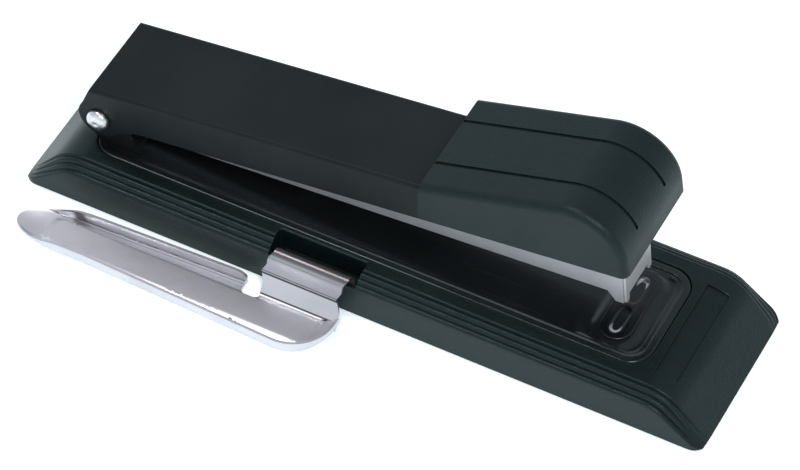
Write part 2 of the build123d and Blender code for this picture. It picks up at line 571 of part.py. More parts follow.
tray = extrude(Plane.XY * make_face(tray_outline(0.0)), TRAY_DEPTH)
tray -= extrude(Plane.XY.offset(TRAY_FLOOR_Z + SHEET) * make_face(tray_outline(-SHEET)), 5.0)
tray -= box(-120, BLADE_FLAT_X, -60, -20, TRAY_FLOOR_Z + BLADE_RIM, 10)
tray -= box(*RELIEF_X, RELIEF_DEPTH_Y, -20.0, -1, 10)
tray -= box(RELIEF_X[1], 0.5, WALL_INNER_Y - 1.2, -20.0, -1, 10)
wall_points = [(WALL_INNER_Y - 1.2, TRAY_FLOOR_Z), (WALL_INNER_Y - 1.2, TRAY_FLOOR_Z + SHEET),
               (WALL_INNER_Y - 0.6, TRAY_FLOOR_Z + SHEET), (HOOK_FACE_Y, 4.9),
               (HOOK_FACE_Y, HOOK_TOP - HOOK_RADIUS)]
back_points = [(HOOK_FACE_Y + SHEET, HOOK_TOP - HOOK_RADIUS), (HOOK_FACE_Y + SHEET, 4.5),
               (WALL_INNER_Y + 0.3, TRAY_FLOOR_Z)]
HOOK_MID_Y = HOOK_FACE_Y + HOOK_RADIUS
hook_lines = Polyline(*wall_points)
hook_lines += ThreePointArc(wall_points[-1], (HOOK_MID_Y, HOOK_TOP),
                            (HOOK_MID_Y + HOOK_RADIUS, HOOK_TOP - HOOK_RADIUS))
hook_lines += Line((HOOK_MID_Y + HOOK_RADIUS, HOOK_TOP - HOOK_RADIUS),
                   (HOOK_MID_Y + HOOK_RADIUS, HOOK_LOW))
hook_lines += Line((HOOK_MID_Y + HOOK_RADIUS, HOOK_LOW),
                   (HOOK_MID_Y + HOOK_RADIUS - SHEET, HOOK_LOW))
hook_lines += Line((HOOK_MID_Y + HOOK_RADIUS - SHEET, HOOK_LOW),
                   (HOOK_MID_Y + HOOK_RADIUS - SHEET, HOOK_TOP - HOOK_RADIUS))
hook_lines += ThreePointArc((HOOK_MID_Y + HOOK_RADIUS - SHEET, HOOK_TOP - HOOK_RADIUS),
                            (HOOK_MID_Y, HOOK_TOP - SHEET), back_points[0])
hook_lines += Polyline(*back_points, wall_points[0])
hook = prism_x(make_face(hook_lines), HOOK_SIDES[1][0] - 1, 0.0)
hook &= polygon_y(HOOK_SIDES, -40, -10)
parts["staple_remover"] = tray + hook

# ---------------------------------------------------------------- output
os.makedirs("parts", exist_ok=True)
for name, shape in parts.items():
    export_step(shape, os.path.join("parts", name + ".step"))
    print(name, [round(v, 1) for v in shape.bounding_box().min],
          [round(v, 1) for v in shape.bounding_box().max], round(shape.volume, 1))
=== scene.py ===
import bmesh
import bpy
from math import acos, atan2, cos, hypot, pi, radians, sin, sqrt
from mathutils import Matrix, Vector, geometry


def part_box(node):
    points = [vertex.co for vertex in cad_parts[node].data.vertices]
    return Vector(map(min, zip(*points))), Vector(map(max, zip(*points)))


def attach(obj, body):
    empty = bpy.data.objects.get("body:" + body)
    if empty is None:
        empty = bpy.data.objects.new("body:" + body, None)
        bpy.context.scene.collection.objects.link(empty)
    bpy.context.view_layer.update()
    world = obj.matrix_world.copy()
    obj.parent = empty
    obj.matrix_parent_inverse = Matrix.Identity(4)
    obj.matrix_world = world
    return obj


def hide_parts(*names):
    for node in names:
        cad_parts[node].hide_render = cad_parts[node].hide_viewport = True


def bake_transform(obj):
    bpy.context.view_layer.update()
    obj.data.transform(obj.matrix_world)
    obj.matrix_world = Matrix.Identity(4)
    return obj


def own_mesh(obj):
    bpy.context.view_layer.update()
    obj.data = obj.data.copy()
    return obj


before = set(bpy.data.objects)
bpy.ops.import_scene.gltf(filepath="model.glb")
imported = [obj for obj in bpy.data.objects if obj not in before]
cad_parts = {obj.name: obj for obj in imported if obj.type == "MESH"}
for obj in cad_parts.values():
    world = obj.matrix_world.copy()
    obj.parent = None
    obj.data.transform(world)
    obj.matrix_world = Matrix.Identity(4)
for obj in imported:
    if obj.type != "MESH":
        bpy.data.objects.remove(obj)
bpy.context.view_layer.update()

# ------------------------------------------------------------------ the table and the light
# A wide white table top. It is lit past full white, so that it gives the black walls of the
# stapler and its plated sheet a cool, bright surface to mirror.
TABLE_HALF = 8.0
TABLE_WHITE = (0.80, 0.83, 0.84, 1.0)
TABLE_GLOW = (0.30, 0.36, 0.38, 1.0)


def add_object(name, mesh):
    made = bpy.data.objects.new(name, mesh)
    bpy.context.scene.collection.objects.link(made)
    return made


table_mesh = bpy.data.meshes.new("table_top")
table_corners = [(x * TABLE_HALF, y * TABLE_HALF, 0) for x, y in ((-1, -1), (1, -1), (1, 1), (-1, 1))]
table_mesh.from_pydata(table_corners, [], [(0, 1, 2, 3)])
table_top = add_object("table_top", table_mesh)
table_finish = bpy.data.materials.new("table_white")
table_finish.use_nodes = True
table_shader = table_finish.node_tree.nodes["Principled BSDF"]
table_shader.inputs["Base Color"].default_value = TABLE_WHITE
table_shader.inputs["Roughness"].default_value = 0.85
table_shader.inputs["Specular IOR Level"].default_value = 0.1
table_shader.inputs["Emission Color"].default_value = TABLE_GLOW
table_shader.inputs["Emission Strength"].default_value = 1.0
table_mesh.materials.append(table_finish)

# The room is a light tent: bright at the horizon and dimmer overhead.
TENT_STEPS = ((0.0, (0.86, 1.0, 1.02)), (0.30, (0.70, 0.78, 0.82)), (0.72, (0.56, 0.57, 0.62)),
              (1.0, (0.50, 0.52, 0.56)))
tent = bpy.data.worlds.new("light_tent")
bpy.context.scene.world = tent
tent.use_nodes = True
tent_nodes = tent.node_tree.nodes
tent_links = tent.node_tree.links
direction = tent_nodes.new("ShaderNodeTexCoord")
height_of = tent_nodes.new("ShaderNodeSeparateXYZ")
tent_ramp = tent_nodes.new("ShaderNodeValToRGB")
tent_links.new(direction.outputs["Generated"], height_of.inputs[0])
tent_links.new(height_of.outputs["Z"], tent_ramp.inputs["Fac"])
tent_links.new(tent_ramp.outputs["Color"], tent_nodes["Background"].inputs["Color"])
while len(tent_ramp.color_ramp.elements) < len(TENT_STEPS):
    tent_ramp.color_ramp.elements.new(0.5)
for element, (place, shade) in zip(tent_ramp.color_ramp.elements, TENT_STEPS):
    element.position = place
    element.color = (*shade, 1.0)
tent_nodes["Background"].inputs["Strength"].default_value = 1.0
bpy.context.scene.view_settings.view_transform = "Standard"

# name, place, size (m), power (W), colour
SOFTBOXES = (
    ("key_softbox", (0.55, -0.55, 1.0), 0.30, 7.0, (1.0, 0.99, 0.97)),
    ("side_softbox", (-0.30, -1.30, 0.70), 1.3, 1.2, (0.86, 0.97, 1.0)),
    ("top_softbox", (-0.35, 0.0, 1.15), 0.30, 4.0, (1.0, 1.0, 1.0)),
)
for lamp_name, lamp_place, lamp_size, lamp_power, lamp_colour in SOFTBOXES:
    lamp = bpy.data.lights.new(lamp_name, "AREA")
    lamp.size = lamp_size
    lamp.energy = lamp_power
    lamp.color = lamp_colour
    holder = add_object(lamp_name, lamp)
    holder.location = lamp_place
    holder.rotation_euler = (-Vector(lamp_place)).to_track_quat("-Z", "Y").to_euler()

# A long lens looks down on the near front corner of the stapler.
VIEW_AZIMUTH = radians(27.60)
VIEW_ELEVATION = radians(49.70)
VIEW_DISTANCE = 1.11479
VIEW_SLIDE = (0.00055830, 0.0034926)
LENS_MM = 189.07
back = Vector((sin(VIEW_AZIMUTH) * cos(VIEW_ELEVATION), -cos(VIEW_AZIMUTH) * cos(VIEW_ELEVATION),
               sin(VIEW_ELEVATION)))
right = Vector((cos(VIEW_AZIMUTH), sin(VIEW_AZIMUTH), 0.0))
upward = back.cross(right)
camera = add_object("camera", bpy.data.cameras.new("camera"))
camera.data.lens = LENS_MM
camera.data.sensor_width = 36.0
camera.data.clip_end = 50.0
camera_place = VIEW_SLIDE[0] * right + VIEW_SLIDE[1] * upward + VIEW_DISTANCE * back
camera.matrix_world = Matrix.Translation(camera_place) @ Matrix((right, upward, back)).transposed().to_4x4()
bpy.context.scene.camera = camera

# ------------------------------------------------------------------ foot pad
# A moulded rubber mat under the whole base, pressed into a shallow recess. Its ribs run
# lengthwise and keep the stapler from sliding.
MM = 0.001
PAD_CORNER = 3.2
PAD_RIB_HEIGHT = 0.4
PAD_RIB_WIDTH = 2.2
PAD_RIB_COUNT = 9
PAD_RIB_MARGIN = 3.0
PAD_RIB_END = 4.0
# a rib's whole height over the part that shows: its root lies inside the mat
PAD_RIB_ROOT = 1.5
PAD_RIB_BEVEL = 0.15
PAD_EDGE = 0.25
ROUND_STEPS = 8
# points nearer than this are merged
MERGE_GAP = 0.002


def rounded_rectangle(length, width, radius, x=0.0, y=0.0, steps=ROUND_STEPS):
    """Loop of (x, y) round a rectangle with round corners, anticlockwise."""
    loop = []
    for quarter, (side_x, side_y) in enumerate(((1, 1), (-1, 1), (-1, -1), (1, -1))):
        for step in range(steps + 1):
            angle = (quarter + step / steps) * pi / 2
            loop.append((x + side_x * (length / 2 - radius) + radius * cos(angle),
                         y + side_y * (width / 2 - radius) + radius * sin(angle)))
    return loop


def mesh_from(name, points, faces):
    """Closed mesh from points in millimetres, doubles merged and faces turned outwards."""
    shape = bmesh.new()
    corners = [shape.verts.new(Vector(point) * MM) for point in points]
    for face in faces:
        shape.faces.new([corners[i] for i in face])
    bmesh.ops.remove_doubles(shape, verts=shape.verts, dist=MERGE_GAP * MM)
    bmesh.ops.recalc_face_normals(shape, faces=shape.faces)
    mesh = bpy.data.meshes.new(name)
    shape.to_mesh(mesh)
    shape.free()
    return mesh


def band_faces(rings, count, start=0):
    """Four-sided faces between closed rings of equal length."""
    faces = []
    for row in range(rings - 1):
        for i in range(count):
            a = start + row * count + i
            b = start + row * count + (i + 1) % count
            faces.append((a, b, b + count, a + count))
    return faces


def loft(name, rings):
    """Skin over rings of equal length, with a flat face on the first and on the last."""
    count = len(rings[0])
    points = [point for ring in rings for point in ring]
    faces = [tuple(range(count))[::-1], tuple(range(len(points) - count, len(points)))]
    return mesh_from(name, points, faces + band_faces(len(rings), count))


def plan_loft(name, layers):
    """Loft over loops of (x, y), each at its own height."""
    return loft(name, [[(x, y, z) for x, y in loop] for loop, z in layers])


def plain_mesh(piece):
    """Gives the piece the mesh that its modifiers make, and takes the modifiers off."""
    bpy.context.view_layer.update()
    graph = bpy.context.evaluated_depsgraph_get()
    evaluated = piece.evaluated_get(graph)
    mesh = bpy.data.meshes.new_from_object(evaluated, preserve_all_data_layers=True, depsgraph=graph)
    piece.modifiers.clear()
    piece.data = mesh
    return piece


def smooth(piece, angle):
    """Smooth faces, with sharp edges above an angle and flat faces kept flat."""
    piece.data.shade_smooth()
    piece.data.set_sharp_from_angle(angle=radians(angle))
    weights = piece.modifiers.new("flat_faces", "WEIGHTED_NORMAL")
    weights.keep_sharp = True
    plain_mesh(piece)


def fit(piece, body, slot, finish, *nodes, angle=35):
    """Finishes a piece: smooth faces, its material, its body and the solids it stands for."""
    smooth(piece, angle)
    piece.data.materials.clear()
    piece.data.materials.append(finish)
    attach(piece, body)
    if nodes:
        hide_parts(*nodes)


def new_finish(name):
    """A material with its object coordinates, ready for texture nodes."""
    made = bpy.data.materials.new(name)
    made.use_nodes = True
    tree = made.node_tree
    place = tree.nodes.new("ShaderNodeTexCoord")
    return made, tree, place.outputs["Object"], tree.nodes["Principled BSDF"]


def grain(tree, place, scale, stretch=(1.0, 1.0, 1.0), detail=3.0, seed=0.0):
    """Noise over the object, from 0 to 1. Scale is in features per metre."""
    mapping = tree.nodes.new("ShaderNodeMapping")
    mapping.inputs["Scale"].default_value = stretch
    mapping.inputs["Location"].default_value = (seed, seed * 0.7, seed * 0.3)
    tree.links.new(place, mapping.inputs["Vector"])
    noisy = tree.nodes.new("ShaderNodeTexNoise")
    noisy.inputs["Scale"].default_value = scale
    noisy.inputs["Detail"].default_value = detail
    tree.links.new(mapping.outputs["Vector"], noisy.inputs["Vector"])
    return noisy.outputs["Fac"]


def spread(tree, value, low, high, start=0.3, end=0.7):
    """Maps a noise value from start..end to low..high."""
    ranged = tree.nodes.new("ShaderNodeMapRange")
    ranged.inputs["From Min"].default_value = start
    ranged.inputs["From Max"].default_value = end
    ranged.inputs["To Min"].default_value = low
    ranged.inputs["To Max"].default_value = high
    tree.links.new(value, ranged.inputs["Value"])
    return ranged.outputs["Result"]


def two_tone(tree, value, dark, light):
    """Colour between dark and light."""
    ramp = tree.nodes.new("ShaderNodeValToRGB")
    ramp.color_ramp.elements[0].color = (*dark, 1.0)
    ramp.color_ramp.elements[1].color = (*light, 1.0)
    tree.links.new(value, ramp.inputs["Fac"])
    return ramp.outputs["Color"]


def relief(tree, value, depth, below=None):
    """Bump of a height in millimetres, on top of another bump."""
    bump = tree.nodes.new("ShaderNodeBump")
    bump.inputs["Strength"].default_value = 1.0
    bump.inputs["Distance"].default_value = depth * MM
    tree.links.new(value, bump.inputs["Height"])
    if below is not None:
        tree.links.new(below, bump.inputs["Normal"])
    return bump.outputs["Normal"]


def rubber():
    finish, tree, place, shader = new_finish("foot_rubber")
    dust = grain(tree, place, 90.0, detail=6.0)
    pores = grain(tree, place, 2600.0)
    dusty = two_tone(tree, spread(tree, dust, 0.0, 1.0), (0.012, 0.012, 0.012), (0.03, 0.029, 0.028))
    tree.links.new(dusty, shader.inputs["Base Color"])
    tree.links.new(spread(tree, pores, 0.72, 0.92), shader.inputs["Roughness"])
    tree.links.new(relief(tree, pores, 0.03), shader.inputs["Normal"])
    shader.inputs["Specular IOR Level"].default_value = 0.35
    return finish


pad_low, pad_high = (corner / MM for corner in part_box("foot_pad"))
pad_length = pad_high.x - pad_low.x
pad_width = pad_high.y - pad_low.y


def pad_loop(inset):
    return rounded_rectangle(pad_length - 2 * inset, pad_width - 2 * inset, PAD_CORNER - inset)


pad_mesh = plan_loft("foot_pad_rubber", [
    (pad_loop(PAD_EDGE), PAD_RIB_HEIGHT),
    (pad_loop(0.0), PAD_RIB_HEIGHT + PAD_EDGE),
    (pad_loop(0.0), pad_high.z)])
foot_pad = add_object("foot_pad_rubber", pad_mesh)


def new_growth(name, inputs):
    """Node tree with its named inputs, its input node and the inputs' identifiers."""
    tree = bpy.data.node_groups.new(name, "GeometryNodeTree")
    sockets = {}
    for label, kind in inputs:
        made = tree.interface.new_socket(label, in_out="INPUT", socket_type=kind)
        sockets[label] = made.identifier
    tree.interface.new_socket("Geometry", in_out="OUTPUT", socket_type="NodeSocketGeometry")
    return tree, tree.nodes.new("NodeGroupInput"), sockets


def in_a_row(tree, shape, count, axis, gap):
    """Copies of a shape along an axis, a gap apart."""
    row = tree.nodes.new("GeometryNodeMeshLine")
    step = tree.nodes.new("ShaderNodeCombineXYZ")
    tree.links.new(count, row.inputs["Count"])
    tree.links.new(gap, step.inputs[axis])
    tree.links.new(step.outputs[0], row.inputs["Offset"])
    placed = tree.nodes.new("GeometryNodeInstanceOnPoints")
    tree.links.new(row.outputs["Mesh"], placed.inputs["Points"])
    tree.links.new(shape, placed.inputs["Instance"])
    return placed.outputs["Instances"]


def close_growth(tree, grown_shape, material):
    """Ends a node tree: real meshes with their material, led to the output."""
    real = tree.nodes.new("GeometryNodeRealizeInstances")
    tree.links.new(grown_shape, real.inputs["Geometry"])
    painted = tree.nodes.new("GeometryNodeSetMaterial")
    painted.inputs["Material"].default_value = material
    tree.links.new(real.outputs["Geometry"], painted.inputs["Geometry"])
    result = tree.nodes.new("NodeGroupOutput")
    tree.links.new(painted.outputs["Geometry"], result.inputs["Geometry"])


def rib_tree(material):
    """Geometry nodes: a row of equal ribs, side by side across the mat."""
    tree, given, sockets = new_growth("mat_ribs", (
        ("Ribs", "NodeSocketInt"), ("Spacing", "NodeSocketFloat"), ("Length", "NodeSocketFloat"),
        ("Width", "NodeSocketFloat"), ("Height", "NodeSocketFloat")))
    size = tree.nodes.new("ShaderNodeCombineXYZ")
    for axis, label in (("X", "Length"), ("Y", "Width"), ("Z", "Height")):
        tree.links.new(given.outputs[label], size.inputs[axis])
    bar = tree.nodes.new("GeometryNodeMeshCube")
    tree.links.new(size.outputs[0], bar.inputs["Size"])
    ribs = in_a_row(tree, bar.outputs["Mesh"], given.outputs["Ribs"], "Y", given.outputs["Spacing"])
    close_growth(tree, ribs, material)
    return tree, sockets


def grown(name, tree, sockets, values):
    """Plain mesh object made by a node tree from the values of its named inputs."""
    holder = add_object(name, bpy.data.meshes.new(name))
    modifier = holder.modifiers.new("grown", "NODES")
    modifier.node_group = tree
    for label, value in values.items():
        modifier[sockets[label]] = value
    return plain_mesh(holder)


foot_rubber = rubber()
rib_span = pad_width - 2 * PAD_RIB_MARGIN
pad_ribs = grown("foot_pad_ribs", *rib_tree(foot_rubber), {
    "Ribs": PAD_RIB_COUNT,
    "Spacing": rib_span / (PAD_RIB_COUNT - 1) * MM,
    "Length": (pad_length - 2 * PAD_RIB_END) * MM,
    "Width": PAD_RIB_WIDTH * MM,
    "Height": PAD_RIB_HEIGHT * PAD_RIB_ROOT * MM})
rib_bottom = min(v.co.z for v in pad_ribs.data.vertices)
pad_ribs.data.transform(Matrix.Translation((0.0, -rib_span / 2 * MM, -rib_bottom)))
rib_edges = pad_ribs.modifiers.new("edges", "BEVEL")
rib_edges.width = PAD_RIB_BEVEL * MM
rib_edges.segments = 2
plain_mesh(pad_ribs)
fit(pad_ribs, "base", "foot_rubber", foot_rubber)
fit(foot_pad, "base", "foot_rubber", foot_rubber, "foot_pad")

# ------------------------------------------------------------------ base shell
# One injection moulding in black ABS with a fine spark-eroded grain. Three rounded ribs run
# along each side, the ends roll down to the table, and the metal deck plate is let in on top.
BASE_HALF_LENGTH = 100.6
BASE_HALF_WIDTH = 25.5
DECK = 14.0
END_CENTRE = (82.7, 1.0)
PLAN_CORNER = 4.0
RIM = 0.4
WALL_TOP = 10.3
# half width and height at the foot of each rib, from the side wall to the deck
RIB_FEET = ((BASE_HALF_WIDTH, WALL_TOP), (24.3, 11.45), (22.95, 12.55), (21.4, 13.45))
RIB_SWELL = 0.30
RIB_STEPS = 7
DECK_ROUND = 0.6
DECK_ROUND_STEPS = 4
DECK_MIDDLE = 12.0
FLAT_STEPS = 10
ARC_STEPS = 18
SLOPE_STEPS = 16
WALL_STEPS = 4


def end_curve(top, end_x, bottom):
    """Half of the side view, from the middle to the foot: flat, then an arc, then a slope."""
    cx, cz = END_CENTRE
    radius = top - cz
    turn = atan2(-cz, end_x - cx) + acos(radius / hypot(end_x - cx, cz))
    touch = (cx + radius * cos(turn), cz + radius * sin(turn))
    curve = [(cx * step / FLAT_STEPS, top) for step in range(FLAT_STEPS)]
    for step in range(ARC_STEPS):
        angle = pi / 2 + (turn - pi / 2) * step / ARC_STEPS
        curve.append((cx + radius * cos(angle), cz + radius * sin(angle)))
    reach = (touch[1] - bottom) / touch[1]
    for step in range(SLOPE_STEPS + 1):
        share = reach * sin(pi / 2 * step / SLOPE_STEPS)
        curve.append((touch[0] + share * (end_x - touch[0]), touch[1] * (1 - share)))
    return curve


def whole_curve(top, end_x, bottom):
    half = end_curve(top, end_x, bottom)
    return [(-x, z) for x, z in half[:0:-1]] + half


def plan_share(x, corner):
    """How far the side walls draw in at the round corners of the footprint."""
    past = max(0.0, abs(x) - (BASE_HALF_LENGTH - corner))
    return (BASE_HALF_WIDTH - corner + sqrt(max(0.0, corner ** 2 - past ** 2))) / BASE_HALF_WIDTH


def hull(name, path, end_x, bottom, corner):
    """Closed body over a path of (half width, top) points from the side wall to the middle."""
    rows = []
    wall = whole_curve(path[0][1], end_x, bottom)
    for step in range(WALL_STEPS):
        rows.append((path[0][0], [(x, bottom + (z - bottom) * step / WALL_STEPS) for x, z in wall]))
    rows += [(half_width, whole_curve(top, end_x, bottom)) for half_width, top in path]
    rows += [(-half_width, curve) for half_width, curve in rows[::-1] if half_width > 0]
    count = len(wall)
    points = [(x, -half_width * plan_share(x, corner), z) for half_width, curve in rows for x, z in curve]
    faces = [(row * count + i, row * count + i + 1, (row + 1) * count + i + 1, (row + 1) * count + i)
             for row in range(len(rows) - 1) for i in range(count - 1)]
    rim_near = list(range(count))
    rim_far = list(range((len(rows) - 1) * count, len(rows) * count))
    front = [row * count + count - 1 for row in range(1, len(rows) - 1)]
    rear = [row * count for row in range(1, len(rows) - 1)]
    faces.append(tuple(rim_near + front + rim_far[::-1] + rear[::-1]))
    return mesh_from(name, points, faces)


def rib_path():
    """Half width and height from the side wall, over the swelling ribs, to the middle of the deck."""
    path = []
    for (out_y, low), (in_y, high) in zip(RIB_FEET, RIB_FEET[1:]):
        run, rise = out_y - in_y, high - low
        for step in range(RIB_STEPS):
            share = step / RIB_STEPS
            bulge = RIB_SWELL * sin(pi * share)
            side = min(out_y - run * share + bulge * rise, BASE_HALF_WIDTH)
            path.append((side, low + rise * share + bulge * run))
    start_y, start_z = RIB_FEET[-1]
    for step in range(DECK_ROUND_STEPS + 1):
        angle = pi / 2 * step / DECK_ROUND_STEPS
        path.append((start_y - DECK_ROUND * (1 - cos(angle)), start_z + (DECK - start_z) * sin(angle)))
    return path + [(DECK_MIDDLE, DECK), (0.0, DECK)]


def carve(piece, tool_mesh, operation="DIFFERENCE"):
    """Cuts a tool out of a piece, or joins it on."""
    tool = add_object("tool", tool_mesh)
    cut = piece.modifiers.new("cut", "BOOLEAN")
    cut.operation = operation
    cut.solver = "EXACT"
    cut.object = tool
    plain_mesh(piece)
    bpy.data.objects.remove(tool)


CUT_OVER = 1.0
LIP_STEPS = 3


def lipped_cutter(loop_of, low, high, lip):
    """Cutter whose top flares, so that the hole gets a rounded lip. loop_of(grow) is its plan."""
    layers = [(loop_of(0.0), low), (loop_of(0.0), high - lip)]
    for step in range(1, LIP_STEPS + 1):
        angle = pi / 2 * step / LIP_STEPS
        layers.append((loop_of(lip * (1 - cos(angle))), high - lip + lip * sin(angle)))
    layers.append((loop_of(lip), high + CUT_OVER))
    return plan_loft("cutter", layers)


def circle(x, y, radius, steps=24):
    turns = [2 * pi * i / steps for i in range(steps)]
    return [(x + radius * cos(turn), y + radius * sin(turn)) for turn in turns]


def drum(radius, low, high, x=0.0, y=0.0, steps=32):
    ring = circle(x, y, radius, steps)
    return plan_loft("drum", [(ring, low), (ring, high)])


def calc(tree, operation, *values):
    """One step of arithmetic on sockets and numbers."""
    node = tree.nodes.new("ShaderNodeMath")
    node.operation = operation
    for socket, value in zip(node.inputs, values):
        if isinstance(value, float):
            socket.default_value = value
        else:
            tree.links.new(value, socket)
    return node.outputs[0]


def moulded_black(name, grain_size, polish):
    """Black ABS: grained, slightly uneven in gloss, with a trace of dust and handling."""
    finish, tree, place, shader = new_finish(name)
    fine = grain(tree, place, 1000.0 / grain_size, detail=2.0)
    cells = tree.nodes.new("ShaderNodeTexVoronoi")
    cells.inputs["Scale"].default_value = 1250.0 / grain_size
    tree.links.new(place, cells.inputs["Vector"])
    handling = grain(tree, place, 38.0, detail=5.0, seed=2.0)
    dust = grain(tree, place, 420.0, detail=8.0, seed=5.0)
    tone = calc(tree, "MULTIPLY", spread(tree, handling, 0.35, 1.0), spread(tree, dust, 0.25, 1.0))
    dusty = two_tone(tree, tone, (0.0026, 0.0052, 0.0060), (0.0056, 0.0098, 0.0110))
    tree.links.new(dusty, shader.inputs["Base Color"])
    tree.links.new(spread(tree, handling, polish - 0.06, polish + 0.07), shader.inputs["Roughness"])
    first = relief(tree, cells.outputs["Distance"], 0.034)
    tree.links.new(relief(tree, fine, 0.05, first), shader.inputs["Normal"])
    shader.inputs["Specular IOR Level"].default_value = 0.27
    shader.inputs["Specular Tint"].default_value = (0.72, 1.0, 1.0, 1.0)
    return finish


shell_mesh = hull("base_moulding", rib_path(), BASE_HALF_LENGTH, RIM, PLAN_CORNER)
base_moulding = add_object("base_moulding", shell_mesh)
CAVITY_PATH = ((23.2, 8.6), (22.0, 9.6), (20.8, 10.6), (0.0, 10.6))
CAVITY_HALF_LENGTH = 96.4
carve(base_moulding, hull("cavity", CAVITY_PATH, CAVITY_HALF_LENGTH, -CUT_OVER, PLAN_CORNER))
RECESS_GAP = 0.15
RECESS_LIP = 0.35
plate_low, plate_high = (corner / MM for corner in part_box("base_plate"))
plate_mid = (plate_low.x + plate_high.x) / 2
plate_length = plate_high.x - plate_low.x
plate_width = plate_high.y - plate_low.y
PLATE_CORNER = 7.0
PLATE_CORNER_STEPS = 14
PLATE_UNDER = 12.2


def plate_loop(grow):
    return rounded_rectangle(plate_length + 2 * grow, plate_width + 2 * grow, PLATE_CORNER + grow,
                             plate_mid, 0.0, PLATE_CORNER_STEPS)


# the notch for the remover's hook, with a box moulded round it inside the shell
NOTCH_X = (-25.0, 0.8)
NOTCH_Y = (-24.2, -18.6)
NOTCH_FLOOR = 7.0
NOTCH_CORNER = 0.6
NOTCH_CORNER_STEPS = 4
NOTCH_ROUND = 0.4
NOTCH_LIP = 10.6
LIP_CUT_Y = -26.0
LIP_CUT_WIDTH = 6.0
BOX_WALL = 1.2
BOX_CORNER = 0.8
BOX_WIDTH = 7.4
BOX_Y = -21.1
BOX_Z = (5.8, 11.2)
notch_length = NOTCH_X[1] - NOTCH_X[0]
notch_mid = sum(NOTCH_X) / 2
box_loop = rounded_rectangle(notch_length + 2 * BOX_WALL, BOX_WIDTH, BOX_CORNER, notch_mid, BOX_Y)
carve(base_moulding, plan_loft("notch_box", [(box_loop, z) for z in BOX_Z]), "UNION")

# bosses for the four screws, and holes for the rivets of the bracket and of the anvil
SCREW_PLACES = [(x, y) for x in (-40.0, 42.0) for y in (-10.0, 10.0)]
SCREW_RADIUS = 1.5
BOSS_RADIUS = 4.0
BOSS_Z = (9.0, 10.8)
BORE_Z = (8.0, 13.0)
BRACKET_RIVETS = ((-76.0, -6.0), (-76.0, 6.0))
BRACKET_RIVET_RADIUS = 1.6
ANVIL_X = 67.4
ANVIL_HOLE_RADIUS = 2.5
HOLE_Z = (9.0, 13.0)
for x, y in SCREW_PLACES:
    carve(base_moulding, drum(BOSS_RADIUS, *BOSS_Z, x, y), "UNION")
    carve(base_moulding, drum(SCREW_RADIUS, *BORE_Z, x, y))
for x, y in BRACKET_RIVETS:
    carve(base_moulding, drum(BRACKET_RIVET_RADIUS, *HOLE_Z, x, y))
carve(base_moulding, drum(ANVIL_HOLE_RADIUS, *HOLE_Z, ANVIL_X))
recess = lipped_cutter(lambda grow: plate_loop(RECESS_GAP + grow), PLATE_UNDER, DECK, RECESS_LIP)
carve(base_moulding, recess)


def notch_loop(grow):
    return rounded_rectangle(notch_length + 2 * grow, NOTCH_Y[1] - NOTCH_Y[0] + 2 * grow,
                             NOTCH_CORNER + grow, notch_mid, sum(NOTCH_Y) / 2, NOTCH_CORNER_STEPS)


carve(base_moulding, lipped_cutter(notch_loop, NOTCH_FLOOR, DECK, NOTCH_ROUND))
lip_loop = rounded_rectangle(notch_length, LIP_CUT_WIDTH, NOTCH_CORNER, notch_mid, LIP_CUT_Y,
                             NOTCH_CORNER_STEPS)
carve(base_moulding, plan_loft("lip_cut", [(lip_loop, NOTCH_LIP), (lip_loop, DECK + CUT_OVER)]))
PAD_GAP = 0.1
seat_loop = pad_loop(-PAD_GAP)
carve(base_moulding, plan_loft("pad_seat", [(seat_loop, -CUT_OVER), (seat_loop, pad_high.z)]))

# the blank name panel is sunk into the front of the deck and follows its curve
PANEL_X = (82.3, 88.6)
PANEL_HALF_WIDTH = 16.0
PANEL_DEPTH = 0.6
PANEL_STEPS = 12
# height over the deck and growth of each ring of the cutter, from the floor up
PANEL_RINGS = ((-PANEL_DEPTH, -0.1), (-0.12, 0.0), (-0.02, 0.12), (1.5, 0.3))


def deck_height(x):
    past = max(0.0, x - END_CENTRE[0])
    return END_CENTRE[1] + sqrt((DECK - END_CENTRE[1]) ** 2 - past ** 2)


def panel_ring(level, grow):
    """Loop round the panel, at a height above the deck."""
    x0, x1 = PANEL_X[0] - grow, PANEL_X[1] + grow
    half = PANEL_HALF_WIDTH + grow
    along = [x0 + (x1 - x0) * i / PANEL_STEPS for i in range(PANEL_STEPS + 1)]
    loop = [(x, -half) for x in along] + [(x, half) for x in along[::-1]]
    return [(x, y, deck_height(x) + level) for x, y in loop]


panel_rings = [panel_ring(level, grow) for level, grow in PANEL_RINGS]
ring_size = len(panel_rings[0])
panel_points = [point for ring in panel_rings for point in ring]
panel_faces = band_faces(len(panel_rings), ring_size)
for ring_start in (0, (len(panel_rings) - 1) * ring_size):
    for i in range(PANEL_STEPS):
        panel_faces.append((ring_start + i, ring_start + i + 1,
                            ring_start + ring_size - 2 - i, ring_start + ring_size - 1 - i))
carve(base_moulding, mesh_from("panel_cut", panel_points, panel_faces))
base_abs = moulded_black("base_abs", grain_size=0.55, polish=0.34)
fit(base_moulding, "base", "moulded_black", base_abs, "base_shell", angle=32)

# ------------------------------------------------------------------ deck plate
# Pressed steel plate, black stove enamel. A low rim runs round its edge, and a boat-shaped
# swelling carries the anvil.
PLATE_FIELD = 13.4
